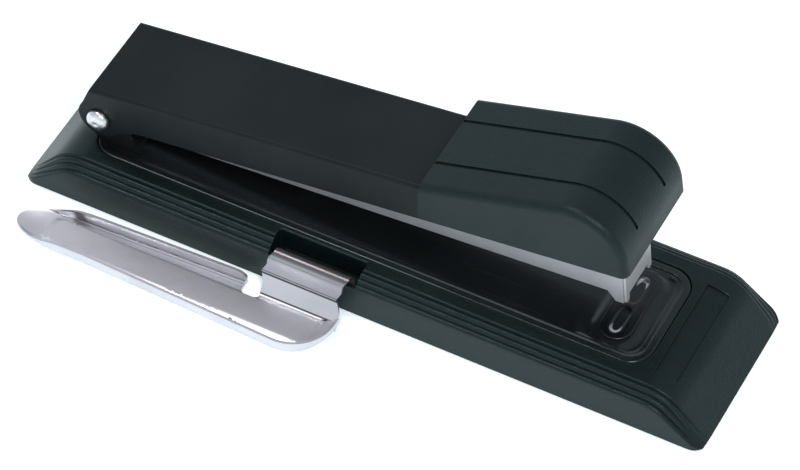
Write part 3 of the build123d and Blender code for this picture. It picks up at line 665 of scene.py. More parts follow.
# distance inside the edge and height, over the rim and down to the field
RIM_PROFILE = ((0.0, 13.42), (0.12, 13.66), (0.35, 13.79), (0.7, 13.84), (1.7, 13.84), (2.0, 13.78),
               (2.35, 13.62), (2.7, 13.46), (3.1, PLATE_FIELD))
RIM_WIDTH = RIM_PROFILE[-1][0]
RIM_FADE = 1.2
SWELL_HALF = (7.6, 15.6)
SWELL_TOP = 13.9
SWELL_EDGE = 2.8
MOAT_DEPTH = 0.45
MOAT_REACH = 3.4
SPRING_RIVET_X = -62.0
SPRING_RIVET_RADIUS = 1.3
SCREW_START = 10.0
SCREW_TIP = 12.9
# first corner, steps and counts of the mesh points, wide over the field and fine over the swelling
FIELD_GRID = ((-80.0, -14.0), (4.0, 4.0), (33, 8))
SWELL_GRID = ((ANVIL_X - 14.0, -13.9), (0.55, 0.55), (42, 51))


def inside(loop, x, y):
    """Whether a point lies inside a loop."""
    found = False
    for (ax, ay), (bx, by) in zip(loop, loop[1:] + loop[:1]):
        if (ay > y) != (by > y) and x < (bx - ax) * (y - ay) / (by - ay) + ax:
            found = not found
    return found


def soft_step(t):
    t = min(1.0, max(0.0, t))
    return t * t * (3 - 2 * t)


def slot_distance(x, y, half_width, half_length):
    """Distance inside (positive) or outside (negative) a slot whose length is along Y."""
    reach = half_length - half_width
    return half_width - hypot(x, max(0.0, abs(y) - reach))


def grid_points(start, step, count):
    """Points in rows and columns, from one corner."""
    return [(start[0] + step[0] * i, start[1] + step[1] * j)
            for i in range(count[0]) for j in range(count[1])]


def flat_sheet(loops, holes, grid):
    """Points and triangles of a flat sheet inside the first loop, around the holes."""
    flat = []
    edges = []
    for loop in loops + holes:
        start = len(flat)
        flat += [Vector(point) for point in loop]
        edges += [(start + i, start + (i + 1) % len(loop)) for i in range(len(loop))]
    flat += [Vector(point) for point in grid
             if inside(loops[-1], *point) and not any(inside(hole, *point) for hole in holes)]
    sheet = geometry.delaunay_2d_cdt(flat, edges, [], 0, 1e-5)
    points, triangles = sheet[0], sheet[2]
    kept = []
    for triangle in triangles:
        x, y = sum((points[i] for i in triangle), Vector((0, 0))) / 3
        if inside(loops[0], x, y) and not any(inside(hole, x, y) for hole in holes):
            kept.append(tuple(triangle))
    return points, kept


def sheet_body(name, loops, holes, grid, top, bottom):
    """Closed plate between top(x, y) and bottom, over the first loop and around the holes."""
    points, kept = flat_sheet(loops, holes, grid)
    count = len(points)
    solid = [(x, y, top(x, y)) for x, y in points] + [(x, y, bottom) for x, y in points]
    faces = kept + [tuple(i + count for i in face[::-1]) for face in kept]
    used = {}
    for face in kept:
        for a, b in zip(face, face[1:] + face[:1]):
            used[(a, b)] = True
    faces += [(b, a, a + count, b + count) for a, b in used if (b, a) not in used]
    return mesh_from(name, solid, faces)


def edge_inset(x, y):
    """How far inside the plate's edge a point is."""
    qx = abs(x - plate_mid) - (plate_length / 2 - PLATE_CORNER)
    qy = abs(y) - (plate_width / 2 - PLATE_CORNER)
    return PLATE_CORNER - hypot(max(qx, 0.0), max(qy, 0.0)) - min(max(qx, qy), 0.0)


def plate_height(x, y):
    inset = edge_inset(x, y)
    for (d0, z0), (d1, z1) in zip(RIM_PROFILE, RIM_PROFILE[1:]):
        if inset <= d1:
            return z0 + (z1 - z0) * max(0.0, inset - d0) / (d1 - d0)
    depth = slot_distance(x - ANVIL_X, y, *SWELL_HALF)
    near = soft_step((depth + MOAT_REACH) / MOAT_REACH)
    moat = MOAT_DEPTH * near * soft_step((inset - RIM_WIDTH) / RIM_FADE)
    swell = (SWELL_TOP - PLATE_FIELD + moat) * soft_step(depth / SWELL_EDGE)
    return PLATE_FIELD - moat + swell


plate_holes = [circle(x, y, BRACKET_RIVET_RADIUS) for x, y in BRACKET_RIVETS]
plate_holes.append(circle(SPRING_RIVET_X, 0.0, SPRING_RIVET_RADIUS))
plate_holes.append(circle(ANVIL_X, 0.0, ANVIL_HOLE_RADIUS))
plate_grid = grid_points(*FIELD_GRID) + grid_points(*SWELL_GRID)
plate_rings = [plate_loop(-inset) for inset, _ in RIM_PROFILE]
plate_mesh = sheet_body("deck_plate", plate_rings, plate_holes, plate_grid, plate_height, PLATE_UNDER)


def stove_enamel(name, dark, light, gloss, orange_peel, scuffs, shine=0.18):
    """Black enamel: a slow orange-peel ripple, fine specks and faint rubbed scratches."""
    finish, tree, place, shader = new_finish(name)
    peel = grain(tree, place, 620.0, detail=2.0)
    specks = grain(tree, place, 2900.0, detail=2.0, seed=3.0)
    rubbed = grain(tree, place, 260.0, stretch=(0.12, 1.6, 1.0), detail=6.0, seed=7.0)
    cloudy = grain(tree, place, 30.0, detail=4.0, seed=11.0)
    tone = two_tone(tree, spread(tree, cloudy, 0.0, 1.0), dark, light)
    tree.links.new(tone, shader.inputs["Base Color"])
    uneven = spread(tree, cloudy, gloss - 0.05, gloss + 0.05)
    scuffed = calc(tree, "ADD", uneven, spread(tree, rubbed, 0.0, scuffs, 0.52, 0.72))
    tree.links.new(scuffed, shader.inputs["Roughness"])
    first = relief(tree, peel, orange_peel)
    tree.links.new(relief(tree, specks, 0.006, first), shader.inputs["Normal"])
    shader.inputs["Specular IOR Level"].default_value = shine
    shader.inputs["Specular Tint"].default_value = (0.78, 1.0, 1.0, 1.0)
    return finish


deck_plate = add_object("deck_plate", plate_mesh)
for x, y in SCREW_PLACES:
    carve(deck_plate, drum(SCREW_RADIUS, SCREW_START, SCREW_TIP, x, y, 24))
deck_enamel = stove_enamel("deck_enamel", (0.0030, 0.0036, 0.0042), (0.0062, 0.0070, 0.0078),
                           gloss=0.24, orange_peel=0.02, scuffs=0.10, shine=0.5)
fit(deck_plate, "base", "deck_enamel", deck_enamel, "base_plate", angle=50)

# ------------------------------------------------------------------ anvil
# Hardened steel, blackened, riveted through the plate. Two curved pockets turn the staple
# legs inwards. A bright colour at their outer ends is partly polish from the staples and partly a painted
# highlight.
ANVIL_HALF = (4.5, 12.0)
ANVIL_LOW = 13.9
ANVIL_HIGH = 14.35
EDGE_DROP = 0.28
EDGE_ROUND = 0.5
BEAD_RISE = 0.10
BEAD_INSET = 1.9
BEAD_HALF = 0.9
POCKET_CENTRE = 5.3
POCKET_HALF = (1.75, 4.6)
POCKET_DEPTH = 0.46
PLATE_SINK = 0.25
SLOT_STEPS = 14
ANVIL_GRID = ((ANVIL_X - 4.2, -11.7), (0.3, 0.3), (29, 79))
EDGE_INSETS = (0.0, 0.06, 0.16, 0.3, EDGE_ROUND)
STEM_RADIUS = 2.45
STEM_LOW = 10.5
HEAD_DRUM = (3.6, 9.8, 10.6)
# the bright patch of polish and painted highlight lies this far beyond the pockets, where the legs curl
# over
POLISH_HIGHLIGHT_SHIFT = 3.0
POLISH_AND_HIGHLIGHT = (0.48, 0.50, 0.53, 1.0)


def slot_loop(x, half_width, half_length):
    """Loop round a slot whose length is along Y."""
    reach = half_length - half_width
    loop = []
    for end in (1, -1):
        for step in range(SLOT_STEPS + 1):
            angle = pi * step / SLOT_STEPS + (0 if end > 0 else pi)
            loop.append((x + half_width * cos(angle), end * reach + half_width * sin(angle)))
    return loop


def pocket_share(x, y):
    """1 in the middle of a clinch pocket and 0 outside it."""
    across = (x - ANVIL_X) / POCKET_HALF[0]
    along = (abs(y) - POCKET_CENTRE) / POCKET_HALF[1]
    return max(0.0, 1 - across ** 2 - along ** 4)


def anvil_height(x, y):
    inset = slot_distance(x - ANVIL_X, y, *ANVIL_HALF)
    edge = EDGE_DROP * (1 - sqrt(max(0.0, 1 - (1 - min(1.0, inset / EDGE_ROUND)) ** 2)))
    bead = BEAD_RISE * soft_step(1 - abs(inset - BEAD_INSET) / BEAD_HALF)
    return ANVIL_HIGH - BEAD_RISE + bead - edge - POCKET_DEPTH * sqrt(pocket_share(x, y))


anvil_rings = [slot_loop(ANVIL_X, ANVIL_HALF[0] - inset, ANVIL_HALF[1] - inset) for inset in EDGE_INSETS]
anvil_grid = grid_points(*ANVIL_GRID)
anvil_mesh = sheet_body("anvil_plate", anvil_rings, [], anvil_grid, anvil_height, ANVIL_LOW - PLATE_SINK)
anvil_plate = add_object("anvil_plate", anvil_mesh)
carve(anvil_plate, drum(STEM_RADIUS, STEM_LOW, ANVIL_LOW, ANVIL_X), "UNION")
carve(anvil_plate, drum(*HEAD_DRUM, ANVIL_X), "UNION")


def bare_steel(name, colour, gloss, brush=(0.15, 1.0, 1.0)):
    """Bare metal: brushed lines, small scratches and slightly cloudy handling marks."""
    finish, tree, place, shader = new_finish(name)
    shader.inputs["Metallic"].default_value = 1.0
    lines = grain(tree, place, 2400.0, stretch=brush, detail=4.0)
    marks = grain(tree, place, 70.0, detail=6.0, seed=4.0)
    nicks = grain(tree, place, 900.0, stretch=(1.0, 0.2, 0.5), detail=3.0, seed=9.0)
    dull = tuple(c * 0.72 for c in colour)
    tone = two_tone(tree, spread(tree, marks, 0.0, 1.0, 0.25, 0.6), dull, colour)
    tree.links.new(tone, shader.inputs["Base Color"])
    uneven = spread(tree, marks, gloss + 0.08, gloss)
    nicked = calc(tree, "ADD", uneven, spread(tree, nicks, 0.0, 0.10, 0.55, 0.75))
    tree.links.new(nicked, shader.inputs["Roughness"])
    first = relief(tree, lines, 0.006)
    tree.links.new(relief(tree, nicks, 0.0036, first), shader.inputs["Normal"])
    return finish


anvil_steel = bare_steel("anvil_steel", (0.045, 0.048, 0.052), gloss=0.26)


def object_axes(tree):
    """The object coordinates of a finish as X, Y and Z."""
    axes = tree.nodes.new("ShaderNodeSeparateXYZ")
    tree.links.new(tree.nodes["Texture Coordinate"].outputs["Object"], axes.inputs[0])
    return axes.outputs


def overlay(tree, share, colour):
    """Lays a colour over a finish, as far as share says at each place."""
    base = tree.nodes["Principled BSDF"].inputs["Base Color"]
    mix = tree.nodes.new("ShaderNodeMix")
    mix.data_type = "RGBA"
    tree.links.new(share, mix.inputs["Factor"])
    tree.links.new(base.links[0].from_socket, mix.inputs["A"])
    mix.inputs["B"].default_value = colour
    tree.links.new(mix.outputs["Result"], base)


def polish_and_highlight_pockets(finish):
    """Bright colour at the outer ends of the pockets, partly polish where the staple legs rub and partly a
    painted highlight; blackened steel elsewhere.
    """
    tree = finish.node_tree
    axes = object_axes(tree)
    across = calc(tree, "SUBTRACT", axes["X"], ANVIL_X * MM)
    across = calc(tree, "DIVIDE", across, POCKET_HALF[0] * MM)
    along = calc(tree, "ABSOLUTE", axes["Y"])
    along = calc(tree, "SUBTRACT", along, (POCKET_CENTRE + POLISH_HIGHLIGHT_SHIFT) * MM)
    along = calc(tree, "DIVIDE", along, POCKET_HALF[1] / 2 * MM)
    reach = calc(tree, "ADD", calc(tree, "MULTIPLY", across, across), calc(tree, "MULTIPLY", along, along))
    # painted highlight: the bright colour at the pockets' outer ends stands for glints as well as polish
    # wear
    overlay(tree, spread(tree, reach, 1.0, 0.0, 0.35, 0.95), POLISH_AND_HIGHLIGHT)


polish_and_highlight_pockets(anvil_steel)
fit(anvil_plate, "base", "anvil_steel", anvil_steel, "anvil", angle=60)

# ------------------------------------------------------------------ deck plate screws
# Four cross-recessed screws of bright steel drive up from below into the deck plate. They end
# in blind holes, so the plate's top stays whole.


FLAT_ANGLE = radians(0.6)
SHARP_ANGLE = radians(30.0)
EDGE_SEGMENTS = 2


def rounded_copy(name, node, width):
    """Copy of a solid, merged into clean faces, with every sharp edge rounded off."""
    shape = bmesh.new()
    shape.from_mesh(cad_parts[node].data)
    bmesh.ops.remove_doubles(shape, verts=shape.verts, dist=MERGE_GAP * MM)
    bmesh.ops.dissolve_limit(shape, angle_limit=FLAT_ANGLE, verts=shape.verts, edges=shape.edges)
    mesh = bpy.data.meshes.new(name)
    shape.to_mesh(mesh)
    shape.free()
    copy = add_object(name, mesh)
    edges = copy.modifiers.new("edges", "BEVEL")
    edges.width = width * MM
    edges.segments = EDGE_SEGMENTS
    edges.limit_method = "ANGLE"
    edges.angle_limit = SHARP_ANGLE
    return plain_mesh(copy)


def fitted_copy(name, node, width, body, slot, finish):
    """Rounded copy of a solid, finished and fitted in its place."""
    fit(rounded_copy(name, node, width), body, slot, finish, node)


bright_steel = bare_steel("bright_steel", (0.62, 0.62, 0.63), gloss=0.28)
fitted_copy("deck_screws", "plate_screws", 0.12, "base", "bright_steel", bright_steel)

# ------------------------------------------------------------------ pivot bracket
# A folded steel bracket with two ears stands on the rear of the plate. Two rivets hold it.
# It has a satin black enamel like the handle's, and the rivets are bare.
bracket_enamel = stove_enamel("black_enamel", (0.0042, 0.0050, 0.0056), (0.0085, 0.0098, 0.0106),
                              gloss=0.36, orange_peel=0.02, scuffs=0.08)
fitted_copy("rear_bracket", "pivot_bracket", 0.25, "base", "black_enamel", bracket_enamel)
fitted_copy("bracket_rivet_pair", "bracket_rivets", 0.25, "base", "bright_steel", bright_steel)

# ------------------------------------------------------------------ lift spring
# A leaf of blued spring steel, riveted to the plate, holds the magazine up off the anvil.
spring_steel = bare_steel("spring_steel", (0.20, 0.19, 0.19), gloss=0.30, brush=(1.0, 0.15, 1.0))
fitted_copy("lift_spring_rivet_head", "lift_spring_rivet", 0.1, "base", "bright_steel", bright_steel)


def leaf(name, node):
    """Leaf spring: a rounded copy in spring steel, its placement baked into the mesh."""
    piece = rounded_copy(name, node, 0.12)
    smooth(piece, 35)
    piece.data.materials.clear()
    piece.data.materials.append(spring_steel)
    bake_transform(piece)
    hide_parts(node)


leaf("lift_leaf", "lift_spring")

# ------------------------------------------------------------------ magazine channel
# Nickel-plated steel channel that holds the staples. It turns on the rear pin, and its nose
# guides the driver blade.


def nickel_plate(name, gloss, metallic, dull, bright):
    """Bright nickel over pressed steel, with fine drawn lines, soft waves and dull patches."""
    finish, tree, place, shader = new_finish(name)
    shader.inputs["Metallic"].default_value = metallic
    lines = grain(tree, place, 1900.0, stretch=(0.10, 1.0, 1.0), detail=4.0)
    waves = grain(tree, place, 120.0, detail=2.0, seed=6.0)
    patches = grain(tree, place, 55.0, detail=7.0, seed=8.0)
    pits = grain(tree, place, 1500.0, detail=2.0, seed=12.0)
    tone = two_tone(tree, spread(tree, patches, 0.0, 1.0), dull, bright)
    tree.links.new(tone, shader.inputs["Base Color"])
    uneven = spread(tree, patches, gloss + 0.07, gloss)
    pitted = calc(tree, "ADD", uneven, spread(tree, pits, 0.0, 0.10, 0.55, 0.8))
    tree.links.new(pitted, shader.inputs["Roughness"])
    first = relief(tree, waves, 0.05)
    second = relief(tree, pits, 0.0012, first)
    tree.links.new(relief(tree, lines, 0.0016, second), shader.inputs["Normal"])
    return finish


magazine_nickel = nickel_plate("magazine_nickel", gloss=0.33, metallic=0.8,
                               dull=(0.50, 0.49, 0.51), bright=(0.68, 0.67, 0.70))
fitted_copy("magazine_trough", "magazine_channel", 0.22, "magazine", "nickel_plate", magazine_nickel)

# ------------------------------------------------------------------ nose plate
# A short plate of the same nickel-plated steel closes the front of the channel. The staple
# leaves through its slot.
fitted_copy("nose_guide", "nose_plate", 0.22, "magazine", "nickel_plate", magazine_nickel)

# ------------------------------------------------------------------ staple rail
# A rail of bare steel, folded to a channel, carries the staples. Two rivets hold its feet in
# the magazine.
fitted_copy("inner_rail", "staple_rail", 0.15, "magazine", "bright_steel", bright_steel)
fitted_copy("rail_rivet_pair", "rail_rivets", 0.15, "magazine", "bright_steel", bright_steel)

# ------------------------------------------------------------------ staple strip
# A stick of galvanised wire staples, glued side by side, stands astride the rail. Part of it
# is used.
MAGAZINE_TILT = radians(4.9)
PIVOT = Vector((-82.0, 0.0, 23.0)) * MM
STAPLE_WIRE = 0.5
STAPLE_WIDTH = 12.2
STAPLE_LEG = 5.75
STRIP_START = 87.85
STAPLE_TOP = -2.25
STAPLE_COUNT = 119
STAPLE_PITCH = 0.503
# turns lengths from the pivot, x along the magazine and z up, into the object
magazine_place = Matrix.Translation(PIVOT) @ Matrix.Rotation(-MAGAZINE_TILT, 4, "Y")


def staple_tree(material):
    """Geometry nodes: one wire staple, repeated along the strip."""
    tree, given, sockets = new_growth("staple_stick", (
        ("Count", "NodeSocketInt"), ("Pitch", "NodeSocketFloat"), ("Crown", "NodeSocketFloat"),
        ("Leg", "NodeSocketFloat"), ("Wire", "NodeSocketFloat")))
    # the staple's centre line is three sides of a rectangle: its lower side is cut away
    box = tree.nodes.new("GeometryNodeCurvePrimitiveQuadrilateral")
    tree.links.new(given.outputs["Crown"], box.inputs["Width"])
    tree.links.new(calc(tree, "MULTIPLY", given.outputs["Leg"], 2.0), box.inputs["Height"])
    bend = tree.nodes.new("GeometryNodeFilletCurve")
    bend.mode = "POLY"
    bend.inputs["Count"].default_value = 2
    tree.links.new(box.outputs["Curve"], bend.inputs["Curve"])
    tree.links.new(given.outputs["Wire"], bend.inputs["Radius"])
    upright = tree.nodes.new("GeometryNodeTransform")
    upright.inputs["Rotation"].default_value = (pi / 2, 0.0, pi / 2)
    tree.links.new(bend.outputs["Curve"], upright.inputs["Geometry"])
    section = tree.nodes.new("GeometryNodeCurvePrimitiveCircle")
    section.inputs["Resolution"].default_value = 6
    tree.links.new(calc(tree, "MULTIPLY", given.outputs["Wire"], 0.5), section.inputs["Radius"])
    wire = tree.nodes.new("GeometryNodeCurveToMesh")
    tree.links.new(upright.outputs["Geometry"], wire.inputs["Curve"])
    tree.links.new(section.outputs["Curve"], wire.inputs["Profile Curve"])
    staples = in_a_row(tree, wire.outputs["Mesh"], given.outputs["Count"], "X", given.outputs["Pitch"])
    close_growth(tree, staples, material)
    return tree, sockets


staple_wire = bare_steel("staple_wire", (0.70, 0.71, 0.73), gloss=0.30, brush=(1.0, 1.0, 0.1))
staple_stick = grown("staple_stick", *staple_tree(staple_wire), {
    "Count": STAPLE_COUNT,
    "Pitch": STAPLE_PITCH * MM,
    "Crown": STAPLE_WIDTH * MM,
    "Leg": STAPLE_LEG * MM,
    "Wire": STAPLE_WIRE * MM})
legs = bmesh.new()
legs.from_mesh(staple_stick.data)
bmesh.ops.bisect_plane(legs, geom=legs.verts[:] + legs.edges[:] + legs.faces[:], plane_co=(0, 0, 0),
                       plane_no=(0, 0, -1), clear_outer=True)
open_edges = [edge for edge in legs.edges if edge.is_boundary]
bmesh.ops.holes_fill(legs, edges=open_edges, sides=0)
bmesh.ops.recalc_face_normals(legs, faces=legs.faces)
legs.to_mesh(staple_stick.data)
legs.free()
strip_place = Matrix.Translation((STRIP_START * MM, 0.0, (STAPLE_TOP - STAPLE_LEG) * MM))
staple_stick.data.transform(magazine_place @ strip_place)
fit(staple_stick, "magazine", "staple_wire", staple_wire, "staple_strip")

# ------------------------------------------------------------------ pusher and its spring
# A moulded slide pushes the staples forward. Its coil spring runs on a rod that is staked
# into an anchor plate at the rear of the channel.
COIL_START = 11.5
COIL_END = 74.8
COIL_RADIUS = 1.85
COIL_WIRE = 0.25
COIL_TURNS = 24.0
ROD_HEIGHT = -0.7
fitted_copy("spring_guide_rod", "spring_rod", 0.15, "magazine", "bright_steel", bright_steel)
fitted_copy("rod_anchor_plate", "rod_anchor", 0.15, "magazine", "bright_steel", bright_steel)


def slide_plastic():
    finish, tree, place, shader = new_finish("slide_plastic")
    cloudy = grain(tree, place, 160.0, detail=5.0)
    fine = grain(tree, place, 2200.0, seed=3.0)
    tone = two_tone(tree, cloudy, (0.030, 0.031, 0.033), (0.048, 0.049, 0.051))
    tree.links.new(tone, shader.inputs["Base Color"])
    tree.links.new(spread(tree, cloudy, 0.34, 0.46), shader.inputs["Roughness"])
    tree.links.new(relief(tree, fine, 0.008), shader.inputs["Normal"])
    return finish


fitted_copy("staple_pusher", "pusher", 0.25, "pusher", "slide_plastic", slide_plastic())


def coil_tree(material):
    """Geometry nodes: round wire along a spiral."""
    labels = ("Turns", "Radius", "Length", "Wire")
    tree, given, sockets = new_growth("coil_spring", [(label, "NodeSocketFloat") for label in labels])
    spiral = tree.nodes.new("GeometryNodeCurveSpiral")
    spiral.inputs["Resolution"].default_value = 24
    tree.links.new(given.outputs["Turns"], spiral.inputs["Rotations"])
    tree.links.new(given.outputs["Radius"], spiral.inputs["Start Radius"])
    tree.links.new(given.outputs["Radius"], spiral.inputs["End Radius"])
    tree.links.new(given.outputs["Length"], spiral.inputs["Height"])
    section = tree.nodes.new("GeometryNodeCurvePrimitiveCircle")
    section.inputs["Resolution"].default_value = 8
    tree.links.new(given.outputs["Wire"], section.inputs["Radius"])
    wire = tree.nodes.new("GeometryNodeCurveToMesh")
    wire.inputs["Fill Caps"].default_value = True
    tree.links.new(spiral.outputs["Curve"], wire.inputs["Curve"])
    tree.links.new(section.outputs["Curve"], wire.inputs["Profile Curve"])
    close_growth(tree, wire.outputs["Mesh"], material)
    return tree, sockets


pusher_coil = grown("pusher_coil", *coil_tree(spring_steel), {
    "Turns": COIL_TURNS,
    "Radius": COIL_RADIUS * MM,
    "Length": (COIL_END - COIL_START - 2 * COIL_WIRE) * MM,
    "Wire": COIL_WIRE * MM})
coil_place = Matrix.Translation(((COIL_START + COIL_WIRE) * MM, 0.0, ROD_HEIGHT * MM))
pusher_coil.data.transform(magazine_place @ coil_place @ Matrix.Rotation(pi / 2, 4, "Y"))
coil_shape = bmesh.new()
coil_shape.from_mesh(pusher_coil.data)
bmesh.ops.remove_doubles(coil_shape, verts=coil_shape.verts, dist=MERGE_GAP * MM)
bmesh.ops.recalc_face_normals(coil_shape, faces=coil_shape.faces)
coil_shape.to_mesh(pusher_coil.data)
coil_shape.free()
fit(pusher_coil, "magazine", "spring_steel", spring_steel, "pusher_spring")
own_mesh(pusher_coil)

# ------------------------------------------------------------------ handle cover
# A long channel of pressed steel in satin black enamel, with a lobe each side that turns on
# the rear pin.
handle_enamel = stove_enamel("handle_enamel", (0.0048, 0.0058, 0.0064), (0.0092, 0.0106, 0.0116),
                             gloss=0.40, orange_peel=0.016, scuffs=0.06)
fitted_copy("handle_channel", "handle_cover", 0.2, "handle", "black_enamel", handle_enamel)

# ------------------------------------------------------------------ driver blade
# A hardened steel blade, left bare, hangs from the front of the cover on one rivet and drives
# the staple.
fitted_copy("staple_driver", "driver_blade", 0.12, "handle", "bright_steel", bright_steel)
fitted_copy("driver_rivet_head", "driver_rivet", 0.15, "handle", "bright_steel", bright_steel)

# ------------------------------------------------------------------ handle return spring
# A leaf of the same spring steel, welded inside the cover, presses on the magazine. It lifts
# the handle after each staple.
leaf("handle_leaf", "handle_spring")

# ------------------------------------------------------------------ handle cap
# A hollow moulded cap is pressed over the front of the cover for the palm. Two grooves run
# over its top and down its nose.
cap_abs = moulded_black("cap_abs", grain_size=0.5, polish=0.44)
fitted_copy("palm_cap", "handle_cap", 0.3, "handle", "moulded_black", cap_abs)

# ------------------------------------------------------------------ main pivot
# One headed rivet passes through the cover, the ears and the magazine. Two spacers centre the
# magazine between the ears.
fitted_copy("magazine_spacers", "pivot_spacers", 0.2, "base", "bright_steel", bright_steel)
RIVET_RADIUS = 2.5
HEAD_RADIUS = 3.3
HEAD_HEIGHT = 2.1
# the head's radius and height, as shares, from its seat to the dimple in its middle
HEAD_PROFILE = ((1.0, 0.0), (1.0, 0.18), (0.97, 0.42), (0.86, 0.68), (0.68, 0.86), (0.46, 0.96),
                (0.26, 1.0), (0.17, 0.97), (0.0, 0.93))
RIVET_STEPS = 40
head_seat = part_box("pivot_rivet")[1].y / MM - HEAD_HEIGHT
half_rivet = [(RIVET_RADIUS, 0.0), (RIVET_RADIUS, head_seat)]
half_rivet += [(HEAD_RADIUS * share, head_seat + HEAD_HEIGHT * rise) for share, rise in HEAD_PROFILE]
rivet_line = [(radius, -along) for radius, along in half_rivet[:0:-1]] + half_rivet
rivet_points = [(x, along, z) for radius, along in rivet_line
                for x, z in circle(PIVOT.x / MM, PIVOT.z / MM, radius, RIVET_STEPS)]
rivet_faces = band_faces(len(rivet_line), RIVET_STEPS)
main_pin = add_object("main_pin", mesh_from("main_pin", rivet_points, rivet_faces))
pin_steel = bare_steel("pin_steel", (0.78, 0.79, 0.80), gloss=0.20)
fit(main_pin, "base", "bright_steel", pin_steel, "pivot_rivet", angle=40)

# ------------------------------------------------------------------ staple remover
# A nickel-plated steel pressing: a long tray with a turned-up edge and a scooped tip that
# slides under a staple. Its tab hooks over the side of the base, and it lifts off.
SHEET = 0.8
TIP_X = -94.5
TRAY_REAR_X = -72.0
TRAY_FRONT_X = -1.0
FLANGE_END_X = -30.0
INNER_Y = -28.4
OUTER_Y = -45.6
# how much the tray narrows towards its tip, on its inner and on its outer side
INNER_TAPER = 1.4
OUTER_TAPER = 2.1
FRONT_RADIUS = 12.0
FRONT_STEPS = 16
TRAY_DEPTH = 3.7
TIP_DEPTH = 1.35
TIP_LEAN = 0.9
TIP_STEPS = 40
# powers of a superellipse, which keeps the blade nearly parallel before it rounds off
TIP_POWERS = (0.80, 0.92)


def line_points(start, end, count, first=0):
    """Points along a line at equal steps, without its end."""
    shares = [i / count for i in range(first, count)]
    return [(start[0] + share * (end[0] - start[0]), start[1] + share * (end[1] - start[1]))
            for share in shares]


def tray_loop(inset):
    """Plan of the tray, anticlockwise: straight sides, a rounded tip and a round front corner."""
    inner_rear, outer_rear = INNER_Y - INNER_TAPER, OUTER_Y + OUTER_TAPER
    middle = (inner_rear + outer_rear) / 2
    half = (inner_rear - outer_rear) / 2
    corner_x, corner_y = TRAY_FRONT_X - FRONT_RADIUS, OUTER_Y + FRONT_RADIUS
    loop = line_points((TRAY_FRONT_X, INNER_Y), (FLANGE_END_X, INNER_Y), 11)
    loop += line_points((FLANGE_END_X, INNER_Y), (TRAY_REAR_X, inner_rear), 30)
    for i in range(TIP_STEPS + 1):
        angle = pi / 2 + pi * i / TIP_STEPS
        along = abs(cos(angle)) ** TIP_POWERS[0]
        across = (abs(sin(angle)) ** TIP_POWERS[1]) * (1 if sin(angle) >= 0 else -1)
        x = TRAY_REAR_X - (TRAY_REAR_X - TIP_X) * along
        loop.append((x, middle - TIP_LEAN * along + half * across))
    loop += line_points((TRAY_REAR_X, outer_rear), (corner_x, OUTER_Y), 22, first=1)
    for i in range(FRONT_STEPS + 1):
        angle = -pi / 2 + pi / 2 * i / FRONT_STEPS
        loop.append((corner_x + FRONT_RADIUS * cos(angle), corner_y + FRONT_RADIUS * sin(angle)))
    loop += line_points((TRAY_FRONT_X, corner_y), (TRAY_FRONT_X, INNER_Y), 5, first=1)
    moved = []
    for i, (x, y) in enumerate(loop):
        ahead, behind = loop[(i + 1) % len(loop)], loop[i - 1]
        dx, dy = ahead[0] - behind[0], ahead[1] - behind[1]
        size = hypot(dx, dy)
        moved.append((x - inset * dy / size, y + inset * dx / size))
    return moved


SCOOP_START_X = -82.0
SCOOP_LENGTH = 11.0
SCOOP_RISE = 0.9
SCOOP_HOLLOW = 0.35
FLOOR_MIDDLE_Y = -37.4
FLOOR_LOW = 0.06
RAISED_HEIGHT = 0.46
RAISED_HALF = 5.3
RAISED_REAR_X = -80.0
RAISED_END_HALF = 5.6
RAISED_END_FADE = 0.9
RAISED_FRONT_X = -5.0
RAISED_FRONT_FADE = 1.2
# the floor lifts towards the outer front corner, from this x and y on
FRONT_LIFT = 1.2
FRONT_LIFT_X = -7.0
FRONT_LIFT_Y = -28.6
WALL_FALL = 4.0


def tip_share(x):
    """0 along the tray and 1 at the very tip."""
    return soft_step((SCOOP_START_X - x) / SCOOP_LENGTH)


def tray_floor(x, y):
    """Underside of the tray floor: a raised panel inside, and a scoop at the tip."""
    across = abs(y - FLOOR_MIDDLE_Y)
    if x > RAISED_REAR_X:
        panel = soft_step(RAISED_HALF - across)
    else:
        past = hypot(RAISED_REAR_X - x, across * 0.9)
        panel = soft_step((RAISED_END_HALF - past) / RAISED_END_FADE)
    panel *= soft_step((RAISED_FRONT_X - x) / RAISED_FRONT_FADE)
    scoop = tip_share(x)
    rise = SCOOP_RISE * scoop + SCOOP_HOLLOW * scoop * (across / 4.0) ** 2
    front = FRONT_LIFT * soft_step((x - FRONT_LIFT_X) / 6.0) * soft_step((FRONT_LIFT_Y - y) / 4.0)
    return FLOOR_LOW + RAISED_HEIGHT * panel + rise + front


# inset and share of the wall's height, from the rim down round the bend to the floor
WALL_RINGS = ((0.0, 1.0), (0.0, 0.36), (0.10, 0.19), (0.34, 0.07), (0.75, 0.0))
FLOOR_INSETS = (1.3, 2.0, 2.8)
wall_loops = [tray_loop(inset) for inset, _ in WALL_RINGS]
floor_rings = [wall_loops[-1]] + [tray_loop(inset) for inset in FLOOR_INSETS]
TRAY_GRID = ((TIP_X, -44.6), (0.7, 0.6), (133, 27))
tray_flat, tray_faces = flat_sheet(floor_rings, [], grid_points(*TRAY_GRID))
tray_points = [(x, y, tray_floor(x, y)) for x, y in tray_flat]
ring_length = len(wall_loops[0])
wall_start = len(tray_points)
for loop, (inset, share) in zip(wall_loops[:-1], WALL_RINGS):
    for x, y in loop:
        depth = TRAY_DEPTH + (TIP_DEPTH - TRAY_DEPTH) * tip_share(x - WALL_FALL)
        tray_points.append((x, y, tray_floor(x, y) * (1 - share) + depth * share))
tray_faces += band_faces(len(WALL_RINGS) - 1, ring_length, wall_start)
last_row = wall_start + (len(WALL_RINGS) - 2) * ring_length
for i in range(ring_length):
    j = (i + 1) % ring_length
    tray_faces.append((last_row + i, last_row + j, j, i))
tray_mesh = mesh_from("remover_plate", tray_points, tray_faces)
